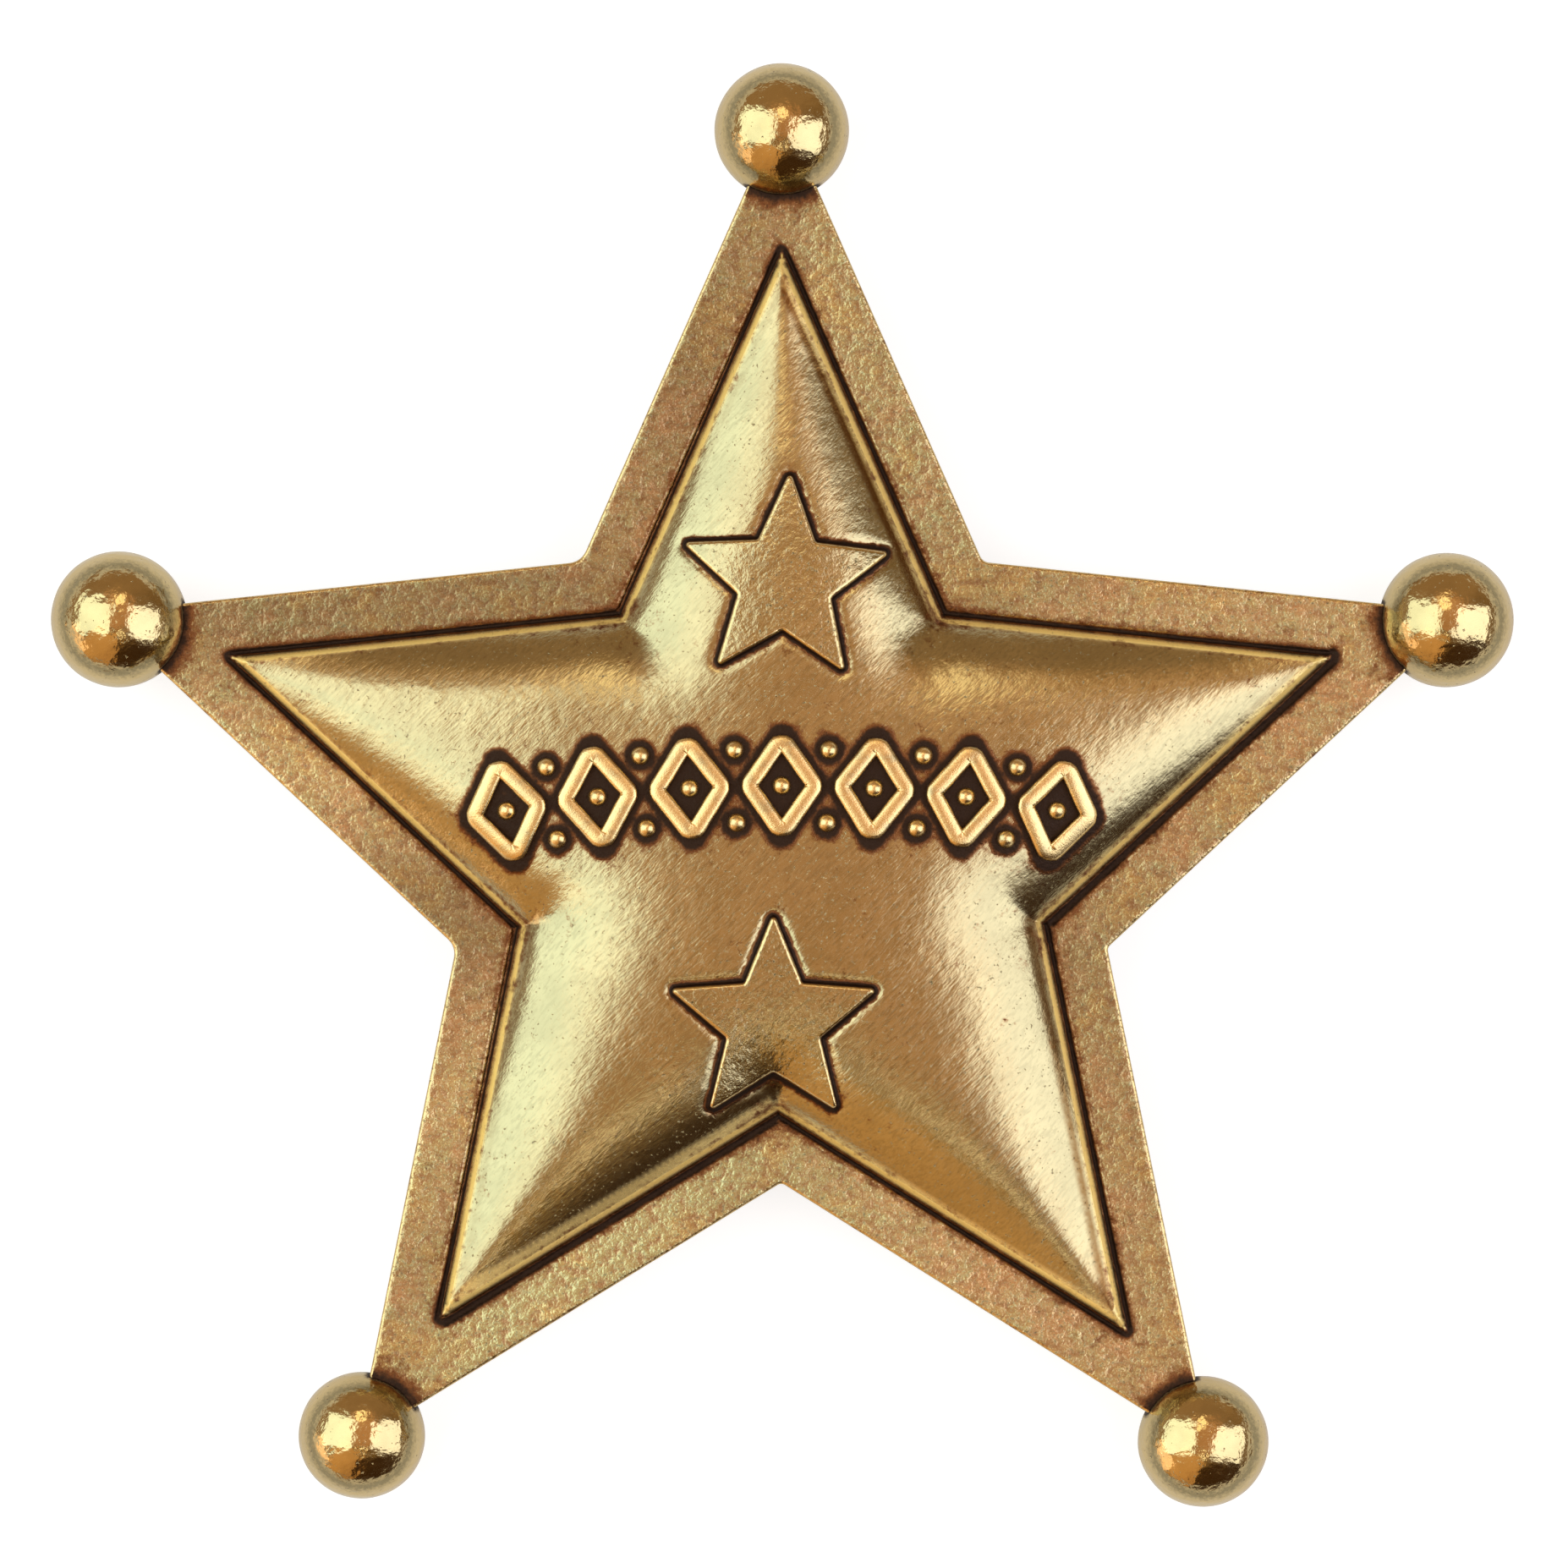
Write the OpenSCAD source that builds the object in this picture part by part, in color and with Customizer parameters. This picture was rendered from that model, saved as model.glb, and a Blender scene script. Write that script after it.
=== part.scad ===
// Ball-tipped five-pointed star badge, cast in one piece, with a brooch pin in its hollow back.
// It lies face up: +Z comes out of the face, +Y is the top arm, and z = 0 is the surface under it.

/* [Star] */
// Reach from the centre to where the top arm's two edges would meet
arm_reach = 35; // [30:0.5:42]
// Reach from the centre to each notch between two arms
notch_reach = 16.4; // [14.5:0.1:18.5]
// Thickness of the flat rim
rim_t = 1.6; // [1.4:0.1:2.4]
// Width of the flat rim around the raised star
rim_w = 2.8; // [2:0.1:3.2]
// Bevel along the rim's edges
rim_bevel = 0.25; // [0.1:0.05:0.4]

/* [Raised star] */
// Height of the raised star above the rim, at the middle
puff_h = 3; // [2.4:0.1:3.8]
// Width of the bevel along the raised star's foot
foot_w = 0.3; // [0.2:0.05:0.5]
// Height of that bevel
foot_h = 0.55; // [0.3:0.05:0.7]
// How far in from the bevel the rise takes to ease off: its steepness falls to a third over this
puff_run = 1.6; // [1.4:0.05:2.4]
// How crisply an arm's two slopes meet at its ridge
ridge_crisp = 4; // [3:0.1:5]
// How late the height falls away towards the tips of the arms
crown_fall = 2; // [1.6:0.1:3]
// Width of the groove between the rim and the raised star
groove_w = 0.35; // [0.2:0.05:0.5]
// Depth of that groove
groove_d = 0.25; // [0.1:0.05:0.4]
// Wall over the hollow back
wall = 1.1; // [0.9:0.05:1.3]

/* [Balls] */
// Diameter of the ball on the top arm
ball_d = 6.5; // [5.5:0.1:8]

/* [Small stars] */
// Reach of a small star's points
small_reach = 5.4; // [4:0.1:5.6]
// Height of the middle of the upper small star above the badge's centre
upper_y = 12.3; // [11.5:0.1:13]
// How far the upper small star sits to the right of the middle
upper_x = 0.15; // [-0.5:0.05:0.5]
// Turn of the upper small star, clockwise
upper_turn = 2.7; // [0:0.1:5]
// Depth of the middle of the lower small star below the badge's centre
lower_y = 8.7; // [8:0.1:9.2]
// How far the lower small star sits to the right of the middle
lower_x = -0.4; // [-0.5:0.05:0.5]

/* [Arched row] */
// Number of lozenges in the row
lozenges = 7; // [5:2:7]
// Width of a lozenge
lozenge_w = 4.2; // [3.4:0.1:4.3]
// Height of a lozenge
lozenge_l = 5.6; // [4.4:0.1:5.8]
// Width of a lozenge's raised line
line_w = 0.85; // [0.5:0.05:0.9]
// Space between two lozenges
lozenge_gap = 0.2; // [0.2:0.05:0.4]
// Diameter of the pellets in and between the lozenges
pellet_d = 0.9; // [0.7:0.05:1]
// Radius of the arch that the row follows
arch_r = 72; // [55:1:110]
// Height of the row's middle above the badge's centre
arch_y = 2.6; // [2:0.1:3.2]

/* [Relief] */
// Height of the small stars, lozenges and pellets above the face
relief_h = 0.45; // [0.3:0.05:0.6]

/* [Pin] */
// Length of the pin's base bar
pin_bar_l = 28; // [24:0.5:30]
// Width of the base bar
pin_bar_w = 4.6; // [4:0.1:5.5]
// Thickness of the base bar
pin_bar_t = 0.8; // [0.6:0.1:1]
// Height of the bar's middle above the badge's centre
pin_y = 4.6; // [3.5:0.1:5.5]
// Diameter of the pin's wire
pin_wire_d = 1; // [0.8:0.1:1.2]
// Height of the wire's middle above the surface the badge lies on
pin_wire_z = 1.2; // [1:0.1:1.6]
// Thickness of the two lugs that hold the wire
pin_lug_t = 1.2; // [1:0.1:1.6]
// Distance between the two cast bosses that carry the bar
boss_span = 17; // [14:0.5:19]
// Diameter of a boss
boss_d = 3.6; // [3:0.1:4.2]
// Space between the bar and the bosses
pin_clear = 0.05; // [0.03:0.01:0.1]

/* [Hidden] */

// One row per arm, counter-clockwise from the top. The columns are its direction in degrees, its reach
// as a share of arm_reach, its ball's place as a share of its own reach, and its ball's size as a share
// of ball_d.
ARMS = [
    [90.0, 1.000, 0.970, 1.00],
    [161.6, 0.985, 0.970, 1.01],
    [234.8, 1.009, 0.988, 0.94],
    [305.0, 1.022, 0.983, 0.97],
    [378.3, 0.988, 0.969, 1.00]
];
ARM_DIR = 0;
ARM_REACH = 1;
ARM_BALL_AT = 2;
ARM_BALL_SIZE = 3;

// Rings of the raised star and of the hollow under it, as shares of the way out from the centre
FACE_RINGS = [1, 0.992, 0.975, 0.945, 0.9, 0.84, 0.77, 0.68, 0.56, 0.4, 0.2];
ROOF_RINGS = [1, 0.985, 0.95, 0.89, 0.8, 0.68, 0.5, 0.25];

full_turn = 360;
arm_count = len(ARMS);
sector = full_turn / arm_count;
// Straight steps along each of the ten edges, and along each edge of a small figure
edge_steps = 8;
small_steps = 3;
pellet_sides = 10;
ball_faces = 96;
tiny = 0.001;

back_z = ball_d / 2 - rim_t / 2;
rim_z = back_z + rim_t;
// Distance from the centre to the line of an arm's edge
edge_reach = arm_reach * notch_reach * sin(sector / 2)
    / norm([arm_reach - notch_reach * cos(sector / 2), notch_reach * sin(sector / 2)]);
foot_share = inset_share(rim_w);
spring_share = inset_share(rim_w + foot_w);
hollow_share = inset_share(rim_w + wall);
hollow_h = puff_h + rim_t - wall;

// How deep the relief is rooted in the casting
relief_root = wall * 0.45;
relief_bevel = relief_h * 0.3;
small_inner = 0.445;
small_blunt = 0.07;
// Place of the pellets between the lozenges, as a share of a lozenge's half height
pellet_rise = 0.62;
lozenge_pitch = lozenge_w + lozenge_gap;

// The balls decide how wide the badge is, so its middle on the surface follows from them
ball_left = min([for (a = ARMS) ball_at(a)[0] - ball_r(a)]);
ball_right = max([for (a = ARMS) ball_at(a)[0] + ball_r(a)]);
ball_low = min([for (a = ARMS) ball_at(a)[1] - ball_r(a)]);
ball_high = max([for (a = ARMS) ball_at(a)[1] + ball_r(a)]);
centre_shift = [-(ball_left + ball_right) / 2, -(ball_low + ball_high) / 2, 0];

function polar(reach, dir) = [reach * cos(dir), reach * sin(dir)];
function inset_share(inset) = 1 - inset / edge_reach;
function ball_r(arm) = ball_d / 2 * arm[ARM_BALL_SIZE];
function ball_at(arm) = polar(arm_reach * arm[ARM_REACH] * arm[ARM_BALL_AT], arm[ARM_DIR]);

// Corners of the star, counter-clockwise: an arm's tip, then the notch after it
function next_dir(i) = i + 1 < arm_count ? ARMS[i + 1][ARM_DIR] : ARMS[0][ARM_DIR] + full_turn;
function star_corners() = [
    for (i = [0:arm_count - 1], at_notch = [0, 1])
        at_notch == 0
            ? polar(arm_reach * ARMS[i][ARM_REACH], ARMS[i][ARM_DIR])
            : polar(notch_reach, (ARMS[i][ARM_DIR] + next_dir(i)) / 2)
];
// A closed outline with each of its edges cut into equal steps
function stepped(corners, steps) = [
    for (i = [0:len(corners) - 1], k = [0:steps - 1])
        let (a = corners[i], b = corners[(i + 1) % len(corners)])
            a + (b - a) * k / steps
];

corners = star_corners();
outline = stepped(corners, edge_steps);
spring_corners = corners * spring_share;

// Distance from a point to the top of the foot's bevel, blended so that the ridges come out rounded
function segment_distance(p, a, b) =
    let (t = max(0, min(1, (p - a) * (b - a) / ((b - a) * (b - a)))))
        norm(p - a - (b - a) * t);
function sum(list) = list * [for (v = list) 1];
function spring_distance(p) =
    let (count = len(spring_corners))
        pow(sum([
            for (i = [0:count - 1])
                let (gap = segment_distance(p, spring_corners[i], spring_corners[(i + 1) % count]))
                    pow(max(tiny, gap), -ridge_crisp)
        ]), -1 / ridge_crisp);
// From 0 at the bevel, steeply and then ever more gently, towards 1
function rise(distance) = 1 - exp(-max(0, distance) / puff_run);
function crown(p) = 1 - pow(min(1, norm(p) / (arm_reach * foot_share)), crown_fall);
function face_z(p) = rim_z + foot_h + (puff_h - foot_h) * rise(spring_distance(p)) * crown(p);
function roof_z(p) = back_z + hollow_h * rise(spring_distance(p) - wall + foot_w) * crown(p);

// The pin's bar lies under the roof of the hollow, on bosses that end below the roof's lowest stretch
// over the bar
function bar_corners() = [
    for (side = [-1, 1], edge = [-1, 1])
        [side * (pin_bar_l - pin_bar_w) / 2, pin_y + edge * pin_bar_w / 2],
    for (side = [-1, 1])
        [side * pin_bar_l / 2, pin_y]
];
boss_drop = wall / 5;
boss_z = min([for (p = bar_corners()) roof_z(p)]) - boss_drop;
bar_z = boss_z - pin_clear - pin_bar_t;
lug_w = pin_bar_w * 0.7;
lug_inset = pin_bar_w / 4;
pin_point_l = pin_wire_d * 2;

// A ring at one height
function flat_ring(share, z) = [for (p = outline * share) [p[0], p[1], z]];
// Lists joined into one
function joined(lists) = [for (l = lists, v = l) v];
function reversed(list) = [for (i = [len(list) - 1:-1:0]) list[i]];

// Triangles between two rings next to each other, where ring r starts at point r * n
function band_faces(lower, upper, n) = joined([
    for (i = [0:n - 1])
        let (j = (i + 1) % n)
            [
                [lower * n + i, upper * n + i, upper * n + j],
                [lower * n + i, upper * n + j, lower * n + j]
            ]
]);

// A closed body from rings that run from the middle underneath, around the edge, to the middle on top
module capped_rings(rings, low_middle, high_middle) {
    n = len(rings[0]);
    low = len(rings) * n;
    high = low + 1;
    last = (len(rings) - 1) * n;
    polyhedron(
        points = concat(joined(rings), [low_middle, high_middle]),
        faces = concat(
            joined([for (r = [0:len(rings) - 2]) band_faces(r, r + 1, n)]),
            [for (i = [0:n - 1]) [low, i, (i + 1) % n]],
            [for (i = [0:n - 1]) [high, last + (i + 1) % n, last + i]]
        )
    );
}

// A closed frame from rings of which the last joins the first
module looped_rings(rings) {
    n = len(rings[0]);
    count = len(rings);
    polyhedron(
        points = joined(rings),
        faces = joined([for (r = [0:count - 1]) band_faces(r, (r + 1) % count, n)])
    );
}

// Points of an outline set on the face, dz above it
function on_face(points, dz) = [for (p = points) [p[0], p[1], face_z(p) + dz]];
function placed(points, at, turn) = [
    for (p = points)
        [at[0] + p[0] * cos(turn) - p[1] * sin(turn), at[1] + p[0] * sin(turn) + p[1] * cos(turn)]
];

// The casting: flat rim, groove, raised star, and the hollow under it
module star_plate() {
    roof = [
        for (share = reversed(ROOF_RINGS))
            [for (p = outline * hollow_share * share) [p[0], p[1], roof_z(p)]]
    ];
    edge = [
        flat_ring(inset_share(rim_bevel), back_z),
        flat_ring(1, back_z + rim_bevel),
        flat_ring(1, rim_z - rim_bevel),
        flat_ring(inset_share(rim_bevel), rim_z),
        flat_ring(inset_share(rim_w - groove_w), rim_z),
        flat_ring(inset_share(rim_w - groove_w / 2), rim_z - groove_d),
        flat_ring(foot_share, rim_z)
    ];
    face = [
        for (share = FACE_RINGS)
            [for (p = outline * spring_share * share) [p[0], p[1], face_z(p)]]
    ];
    middle = [0, 0];
    capped_rings(concat(roof, edge, face), [0, 0, roof_z(middle)], [0, 0, face_z(middle)]);
}

// A ball on the end of an arm, touching the surface whatever its size
module ball_tip(arm) {
    at = ball_at(arm);
    translate([at[0], at[1], ball_r(arm)])
        sphere(r = ball_r(arm), $fn = ball_faces);
}

// A small raised star with blunt points
function small_corners() = [
    for (i = [0:arm_count - 1], k = [0:2])
        let (dir = 90 + i * sector)
            k == 0 ? polar(small_reach * (1 - small_blunt / 2), dir - sector * small_blunt / 2)
            : k == 1 ? polar(small_reach * (1 - small_blunt / 2), dir + sector * small_blunt / 2)
            : polar(small_reach * small_inner, dir + sector / 2)
];
module small_star(at, turn) {
    shape = stepped(small_corners(), small_steps);
    inset = 1 - relief_bevel / (small_reach * small_inner);
    rings = [
        on_face(placed(shape, at, turn), -relief_root),
        on_face(placed(shape, at, turn), relief_h - relief_bevel),
        on_face(placed(shape * inset, at, turn), relief_h),
        on_face(placed(shape * inset / 2, at, turn), relief_h)
    ];
    middle = [at[0], at[1], face_z(at)];
    capped_rings(rings, middle - [0, 0, relief_root], middle + [0, 0, relief_h]);
}

// A place along the arch, with +X to the right and +Y out from the arch's middle
function arch_turn(along) = -along / arch_r * 180 / PI;
function arch_at(along, up) =
    let (dir = 90 + arch_turn(along))
        [0, arch_y - arch_r] + polar(arch_r + up, dir);

// An open lozenge, raised as a line around a bare middle
module lozenge(along) {
    half = [[lozenge_w / 2, 0], [0, lozenge_l / 2], [-lozenge_w / 2, 0], [0, -lozenge_l / 2]];
    shape = stepped(half, small_steps);
    // Distance from the lozenge's middle to each of its sides
    side_reach = lozenge_w * lozenge_l / 2 / norm([lozenge_w, lozenge_l]);
    inner = 1 - line_w / side_reach;
    outer_top = 1 - relief_bevel / side_reach;
    inner_top = inner + relief_bevel / side_reach;
    at = arch_at(along, 0);
    turn = arch_turn(along);
    looped_rings([
        on_face(placed(shape, at, turn), -relief_root),
        on_face(placed(shape, at, turn), relief_h - relief_bevel),
        on_face(placed(shape * outer_top, at, turn), relief_h),
        on_face(placed(shape * inner_top, at, turn), relief_h),
        on_face(placed(shape * inner, at, turn), relief_h - relief_bevel),
        on_face(placed(shape * inner, at, turn), -relief_root)
    ]);
}

// A round pellet with a domed top
module pellet(along, up) {
    at = arch_at(along, up);
    round = [for (i = [0:pellet_sides - 1]) polar(pellet_d / 2, i * full_turn / pellet_sides)];
    middle = [at[0], at[1], face_z(at)];
    shoulder = 0.7;
    capped_rings(
        [
            on_face(placed(round, at, 0), -relief_root),
            on_face(placed(round, at, 0), relief_h - relief_bevel * 2),
            on_face(placed(round * shoulder, at, 0), relief_h - relief_bevel / 2)
        ],
        middle - [0, 0, relief_root],
        middle + [0, 0, relief_h]
    );
}

// The arched row: lozenges with a pellet in each, and a pair of pellets between neighbours
module arched_row() {
    first = -(lozenges - 1) / 2;
    for (i = [0:lozenges - 1]) {
        lozenge((first + i) * lozenge_pitch);
        pellet((first + i) * lozenge_pitch, 0);
    }
    for (i = [0:lozenges - 2], side = [-1, 1])
        pellet((first + i + 0.5) * lozenge_pitch, side * lozenge_l / 2 * pellet_rise);
}

// A round boss in the hollow, cast with the roof, that carries the pin's bar
module pin_boss(x) {
    top_z = roof_z([x, pin_y]) + wall / 2;
    translate([x, pin_y, boss_z])
        cylinder(h = top_z - boss_z, d = boss_d, $fn = 48);
}

module star_body() {
    color([0.70, 0.55, 0.33])
        translate(centre_shift)
            union() {
                star_plate();
                for (arm = ARMS)
                    ball_tip(arm);
                small_star([upper_x, upper_y], -upper_turn);
                small_star([lower_x, -lower_y], 0);
                arched_row();
                for (side = [-1, 1])
                    pin_boss(side * boss_span / 2);
            }
}

// A lug of the brooch pin, from its bar down to a round end about the wire
module pin_lug(x) {
    translate([x - pin_lug_t / 2, pin_y - lug_w / 2, pin_wire_z])
        cube([pin_lug_t, lug_w, bar_z + pin_bar_t / 2 - pin_wire_z]);
    translate([x - pin_lug_t / 2, pin_y, pin_wire_z])
        rotate([0, 90, 0])
            intersection() {
                cylinder(h = pin_lug_t, d = lug_w, $fn = 48);
                translate([0, -lug_w / 2, 0])
                    cube([pin_wire_z - pin_wire_d / 2, lug_w, pin_lug_t]);
            }
}

module pin_back() {
    lug_x = pin_bar_l / 2 - lug_inset - pin_lug_t / 2;
    color([0.72, 0.60, 0.38])
        translate(centre_shift)
            union() {
                // The bar, with round ends
                translate([0, pin_y, bar_z])
                    linear_extrude(height = pin_bar_t)
                        union() {
                            square([pin_bar_l - pin_bar_w, pin_bar_w], center = true);
                            for (side = [-1, 1])
                                translate([side * (pin_bar_l - pin_bar_w) / 2, 0])
                                    circle(d = pin_bar_w, $fn = 48);
                        }
                for (side = [-1, 1])
                    pin_lug(side * lug_x);
                // The wire, from its hinge lug to its sharpened end past the catch
                translate([-lug_x, pin_y, pin_wire_z])
                    rotate([0, 90, 0])
                        cylinder(h = lug_x * 2 + pin_lug_t / 2, d = pin_wire_d, $fn = 32);
                translate([lug_x + pin_lug_t / 2, pin_y, pin_wire_z])
                    rotate([0, 90, 0])
                        cylinder(h = pin_point_l, d1 = pin_wire_d, d2 = pin_wire_d / 4, $fn = 32);
            }
}

star_body();
pin_back();
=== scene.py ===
"""Ball-tipped star badge in antique brass: its looks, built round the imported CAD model."""

import math

import bmesh
import bpy
import numpy as np
from bpy.props import FloatProperty, FloatVectorProperty, IntProperty, PointerProperty
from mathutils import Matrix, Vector
from mathutils.geometry import delaunay_2d_cdt
from mathutils.kdtree import KDTree


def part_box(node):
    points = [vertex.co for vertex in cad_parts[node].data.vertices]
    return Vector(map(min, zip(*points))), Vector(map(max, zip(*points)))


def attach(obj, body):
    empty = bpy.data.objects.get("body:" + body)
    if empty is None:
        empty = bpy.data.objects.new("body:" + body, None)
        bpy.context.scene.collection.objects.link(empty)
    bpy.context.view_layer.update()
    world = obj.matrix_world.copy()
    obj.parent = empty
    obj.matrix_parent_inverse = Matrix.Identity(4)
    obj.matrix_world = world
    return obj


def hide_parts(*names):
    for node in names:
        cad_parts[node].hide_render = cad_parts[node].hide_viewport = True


bl_info = {
    "name": "Star Badge",
    "version": (1, 0, 0),
    "blender": (4, 5, 0),
    "location": "3D View > Sidebar > Star Badge",
    "description": "Builds a ball-tipped star badge cast in antique brass",
    "category": "Object",
}

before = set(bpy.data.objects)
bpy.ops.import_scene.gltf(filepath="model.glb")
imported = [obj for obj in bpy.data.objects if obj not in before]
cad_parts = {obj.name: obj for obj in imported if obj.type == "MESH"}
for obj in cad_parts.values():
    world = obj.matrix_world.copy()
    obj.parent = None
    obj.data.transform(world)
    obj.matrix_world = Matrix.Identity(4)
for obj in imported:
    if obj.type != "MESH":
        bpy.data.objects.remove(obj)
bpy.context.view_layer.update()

MM = 0.001
# What lies nearer than this counts as touching
TOUCH = 1e-7

# One row per arm, counter-clockwise from the top: its direction in degrees, its reach as a share of the
# top arm's, its ball's place as a share of its own reach, and its ball's size as a share of the top ball's
ARMS = (
    (90.0, 1.000, 0.970, 1.00),
    (161.6, 0.985, 0.970, 1.01),
    (234.8, 1.009, 0.988, 0.94),
    (305.0, 1.022, 0.983, 0.97),
    (378.3, 0.988, 0.969, 1.00),
)
ARM_COUNT = len(ARMS)
SECTOR = 360 / ARM_COUNT
# Roundings in millimetres: what the casting left in each notch, after the arm of the same row, at each tip,
# and in a notch further in
NOTCH_ROUNDS = (0.85, 0.8, 0.2, 0.2, 0.4)
TIP_ROUND = 0.25
LEAST_ROUND = 0.12
# Points along each of the star's edges and round each of its corners, and the same of a small star
STAR_POINTS = (100, 6)
SMALL_POINTS = (14, 5)
# One row per edge, counter-clockwise from the top arm's left edge: how much further in the raised star
# starts and how wide the painted pale reflection at its foot is, in millimetres, then how much painted shade
# darkens its first slope and how much of the groove's width is dark away from the tips
EDGES = (
    (0.0, 0.3, 0.35, 0.55),
    (0.0, 0.3, 0.0, 0.95),
    (0.0, 0.3, 0.0, 0.9),
    (0.0, 0.3, 0.35, 0.55),
    (0.18, 0.75, 0.0, 1.0),
    (0.0, 0.4, 0.0, 0.9),
    (0.0, 0.3, 0.85, 0.95),
    (0.18, 0.4, 0.45, 1.0),
    (0.0, 0.3, 0.2, 0.85),
    (0.0, 0.4, 1.0, 0.9),
)
EDGE_SHIFTS, EDGE_BANDS, EDGE_FOOT_SHADE, EDGE_GROOVES = np.array(EDGES).T
# Painted light and shade on the rim, lighter in some directions round the star and darker in others:
# degrees, share of the plain bronze's brightness, then share of olive
RIM_LIGHT_AND_OLIVE = (
    (5, 1.1, 0.1),
    (28, 1.3, 0.1),
    (50, 1.0, 0.3),
    (85, 1.1, 0.3),
    (100, 0.8, 0.1),
    (116, 1.0, 0.0),
    (127, 0.8, 0.0),
    (158, 0.8, 0.2),
    (172, 1.4, 0.2),
    (188, 0.8, 0.0),
    (198, 0.8, 0.0),
    (218, 1.4, 0.2),
    (230, 1.1, 0.3),
    (244, 1.3, 1.0),
    (265, 1.1, 0.8),
    (290, 1.3, 0.2),
    (315, 1.1, 0.0),
    (340, 0.9, 0.1),
)
# The small stars: how far each lies across and up from the badge's middle, in millimetres, and its turn
SMALL_STARS = ((0.15, 12.35, -2.7), (-0.4, -8.7, 0.0))
# Reach of a small star's notches, as a share of its points' reach
SMALL_INNER = 0.445
# Loops of points round a small star, in millimetres outside its outline
SMALL_LOOPS = (0.35, 0.1, 0, -0.03, -0.09, -0.17, -0.26, -0.36)
# Loops of points past the foot's chamfer and, on the back, past the hollow's edge, in millimetres
SPRING_LOOPS = (0, 0.02, 0.06, 0.14, 0.3)
BACK_LOOPS = (0, 0.12, 0.4)
# How much a raised line takes off a lozenge's width and height and rounds its corners, in line widths
LINE_OFF_W = 1.2
LINE_OFF_L = 1.3
CORNER_SHARE = 0.26
# Points along that line and round its section, and the height from which the row is set down
LINE_POINTS = 96
LINE_SIDES = 20
ABOVE_ALL = 50 * MM
# How far patina reaches beside the small stars and the row, and how far the casting darkens round the balls,
# thick and then thin
STAR_DIRT, STAR_HAZE = 0.2 * MM, 0.45 * MM
ROW_DIRT, ROW_HAZE = 0.42 * MM, 0.8 * MM
BALL_DARK, BALL_HAZE = 0.5 * MM, 2.5 * MM
# How far patina reaches thinly out from the groove and painted shade from each notch, and how near a tip the
# groove fills up
GROOVE_HAZE = 0.7 * MM
NOTCH_HAZE = 1.8 * MM
TIP_FILL = 4.5 * MM
# Width of the dip in the ground beside the small stars, and how square their rounded edge is
MOAT_W = 0.5 * MM
EDGE_POWER = 2.2
# What gives the casting its height at each point, and all that its mesh holds while it is made
HEIGHT_FIELDS = ("base", "gain", "foot", "relief")
FIELDS = ("tone", "green", "dirt", "grime", "wear", "raised", "worked", "burnished", *HEIGHT_FIELDS)
# The lamps round the badge: name, turn round it and lean from straight above in degrees, width across and
# along the lean as angles seen from the badge, brightness, colour
LAMPS = (
    ("left_softbox", 172, 44, 56, 62, 1.66, (0.77, 1.0, 1.05)),
    ("right_softbox", -8, 47, 50, 58, 1.78, (0.92, 1.0, 1.14)),
    ("upper_lamp", 90, 31, 12, 18, 1.6, (1.0, 0.92, 0.62)),
    ("lower_lamp", -88, 25, 6, 5, 2.5, (1.0, 0.92, 0.70)),
    ("low_glow", -125, 57, 46, 60, 0.56, (1.0, 0.53, 0.20)),
    ("side_glow", -158, 80, 34, 18, 1.3, (1.0, 0.72, 0.52)),
)
LAMP_DISTANCE = 0.5
# The dim room's walls: which of its colours, how much the direction leans, and where it starts and is full
WALLS = (("room_top", -0.5, -0.1, 0.5), ("room_low", -0.3, -0.6, -0.84))
FLOOR_REACH = 3.0
CAMERA_CLIP = (0.01, 20)


# Settings


def length(name, description, millimetres):
    """A length among the settings."""
    return FloatProperty(name=name, description=description, default=millimetres * MM, unit="LENGTH")


def number(name, description, default, subtype="NONE"):
    """A plain number among the settings."""
    return FloatProperty(name=name, description=description, default=default, subtype=subtype)


def colour(name, description, *default):
    """A colour among the settings."""
    return FloatVectorProperty(
        name=name, description=description, default=default, subtype="COLOR", size=3, min=0, max=1
    )


class StarSizes(bpy.types.PropertyGroup):
    """Sizes of the casting"""

    arm_reach: length("Arm reach", "From the centre to where the top arm's edges would meet", 35)
    notch_reach: length("Notch reach", "From the centre to each notch between two arms", 16.4)
    rim_t: length("Rim thickness", "Thickness of the flat rim", 1.6)
    rim_w: length("Rim width", "Width of the flat rim round the raised star", 2.8)
    rim_round: length("Rim rounding", "Radius along the rim's edges", 0.16)
    rim_lean: length("Rim lean", "How much lower the rim lies beside the groove than at its edge", 0.12)
    puff_h: length("Star height", "Height of the raised star above the rim, at the middle", 3)
    puff_run: length("Star run", "How far in from the foot its steepness falls to a third", 1.6)
    ridge_crisp: number("Ridge crispness", "How crisply an arm's two slopes meet at its ridge", 4)
    crown_fall: number("Crown fall", "How late the height falls away towards the tips", 2)
    foot_w: length("Foot width", "Width of the chamfer from which the raised star springs", 0.3)
    foot_h: length("Foot height", "Height of that chamfer", 0.55)
    unevenness: length("Unevenness", "Height of the soft lumps in the cast faces", 0.03)
    groove_w: length("Groove width", "Width of the groove round the raised star", 0.35)
    groove_d: length("Groove depth", "Depth of that groove", 0.25)
    wall: length("Wall", "Wall over the hollow back", 1.1)
    ball_d: length("Ball diameter", "Diameter of the ball on the top arm", 6.5)
    ball_lumps: length("Ball lumps", "Height of the soft lumps in the balls", 0.05)
    relief_h: length("Relief height", "Height of small stars, lozenges and pellets above the face", 0.45)
    small_reach: length("Small star reach", "Reach of a small star's points", 5.4)
    small_edge: length("Small star edge", "Width of a small star's rounded edge", 0.16)
    moat_d: length("Moat depth", "How far the ground dips beside the relief", 0.1)
    mesh_step: length("Mesh step", "Distance between the points of the face", 0.2)


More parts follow.
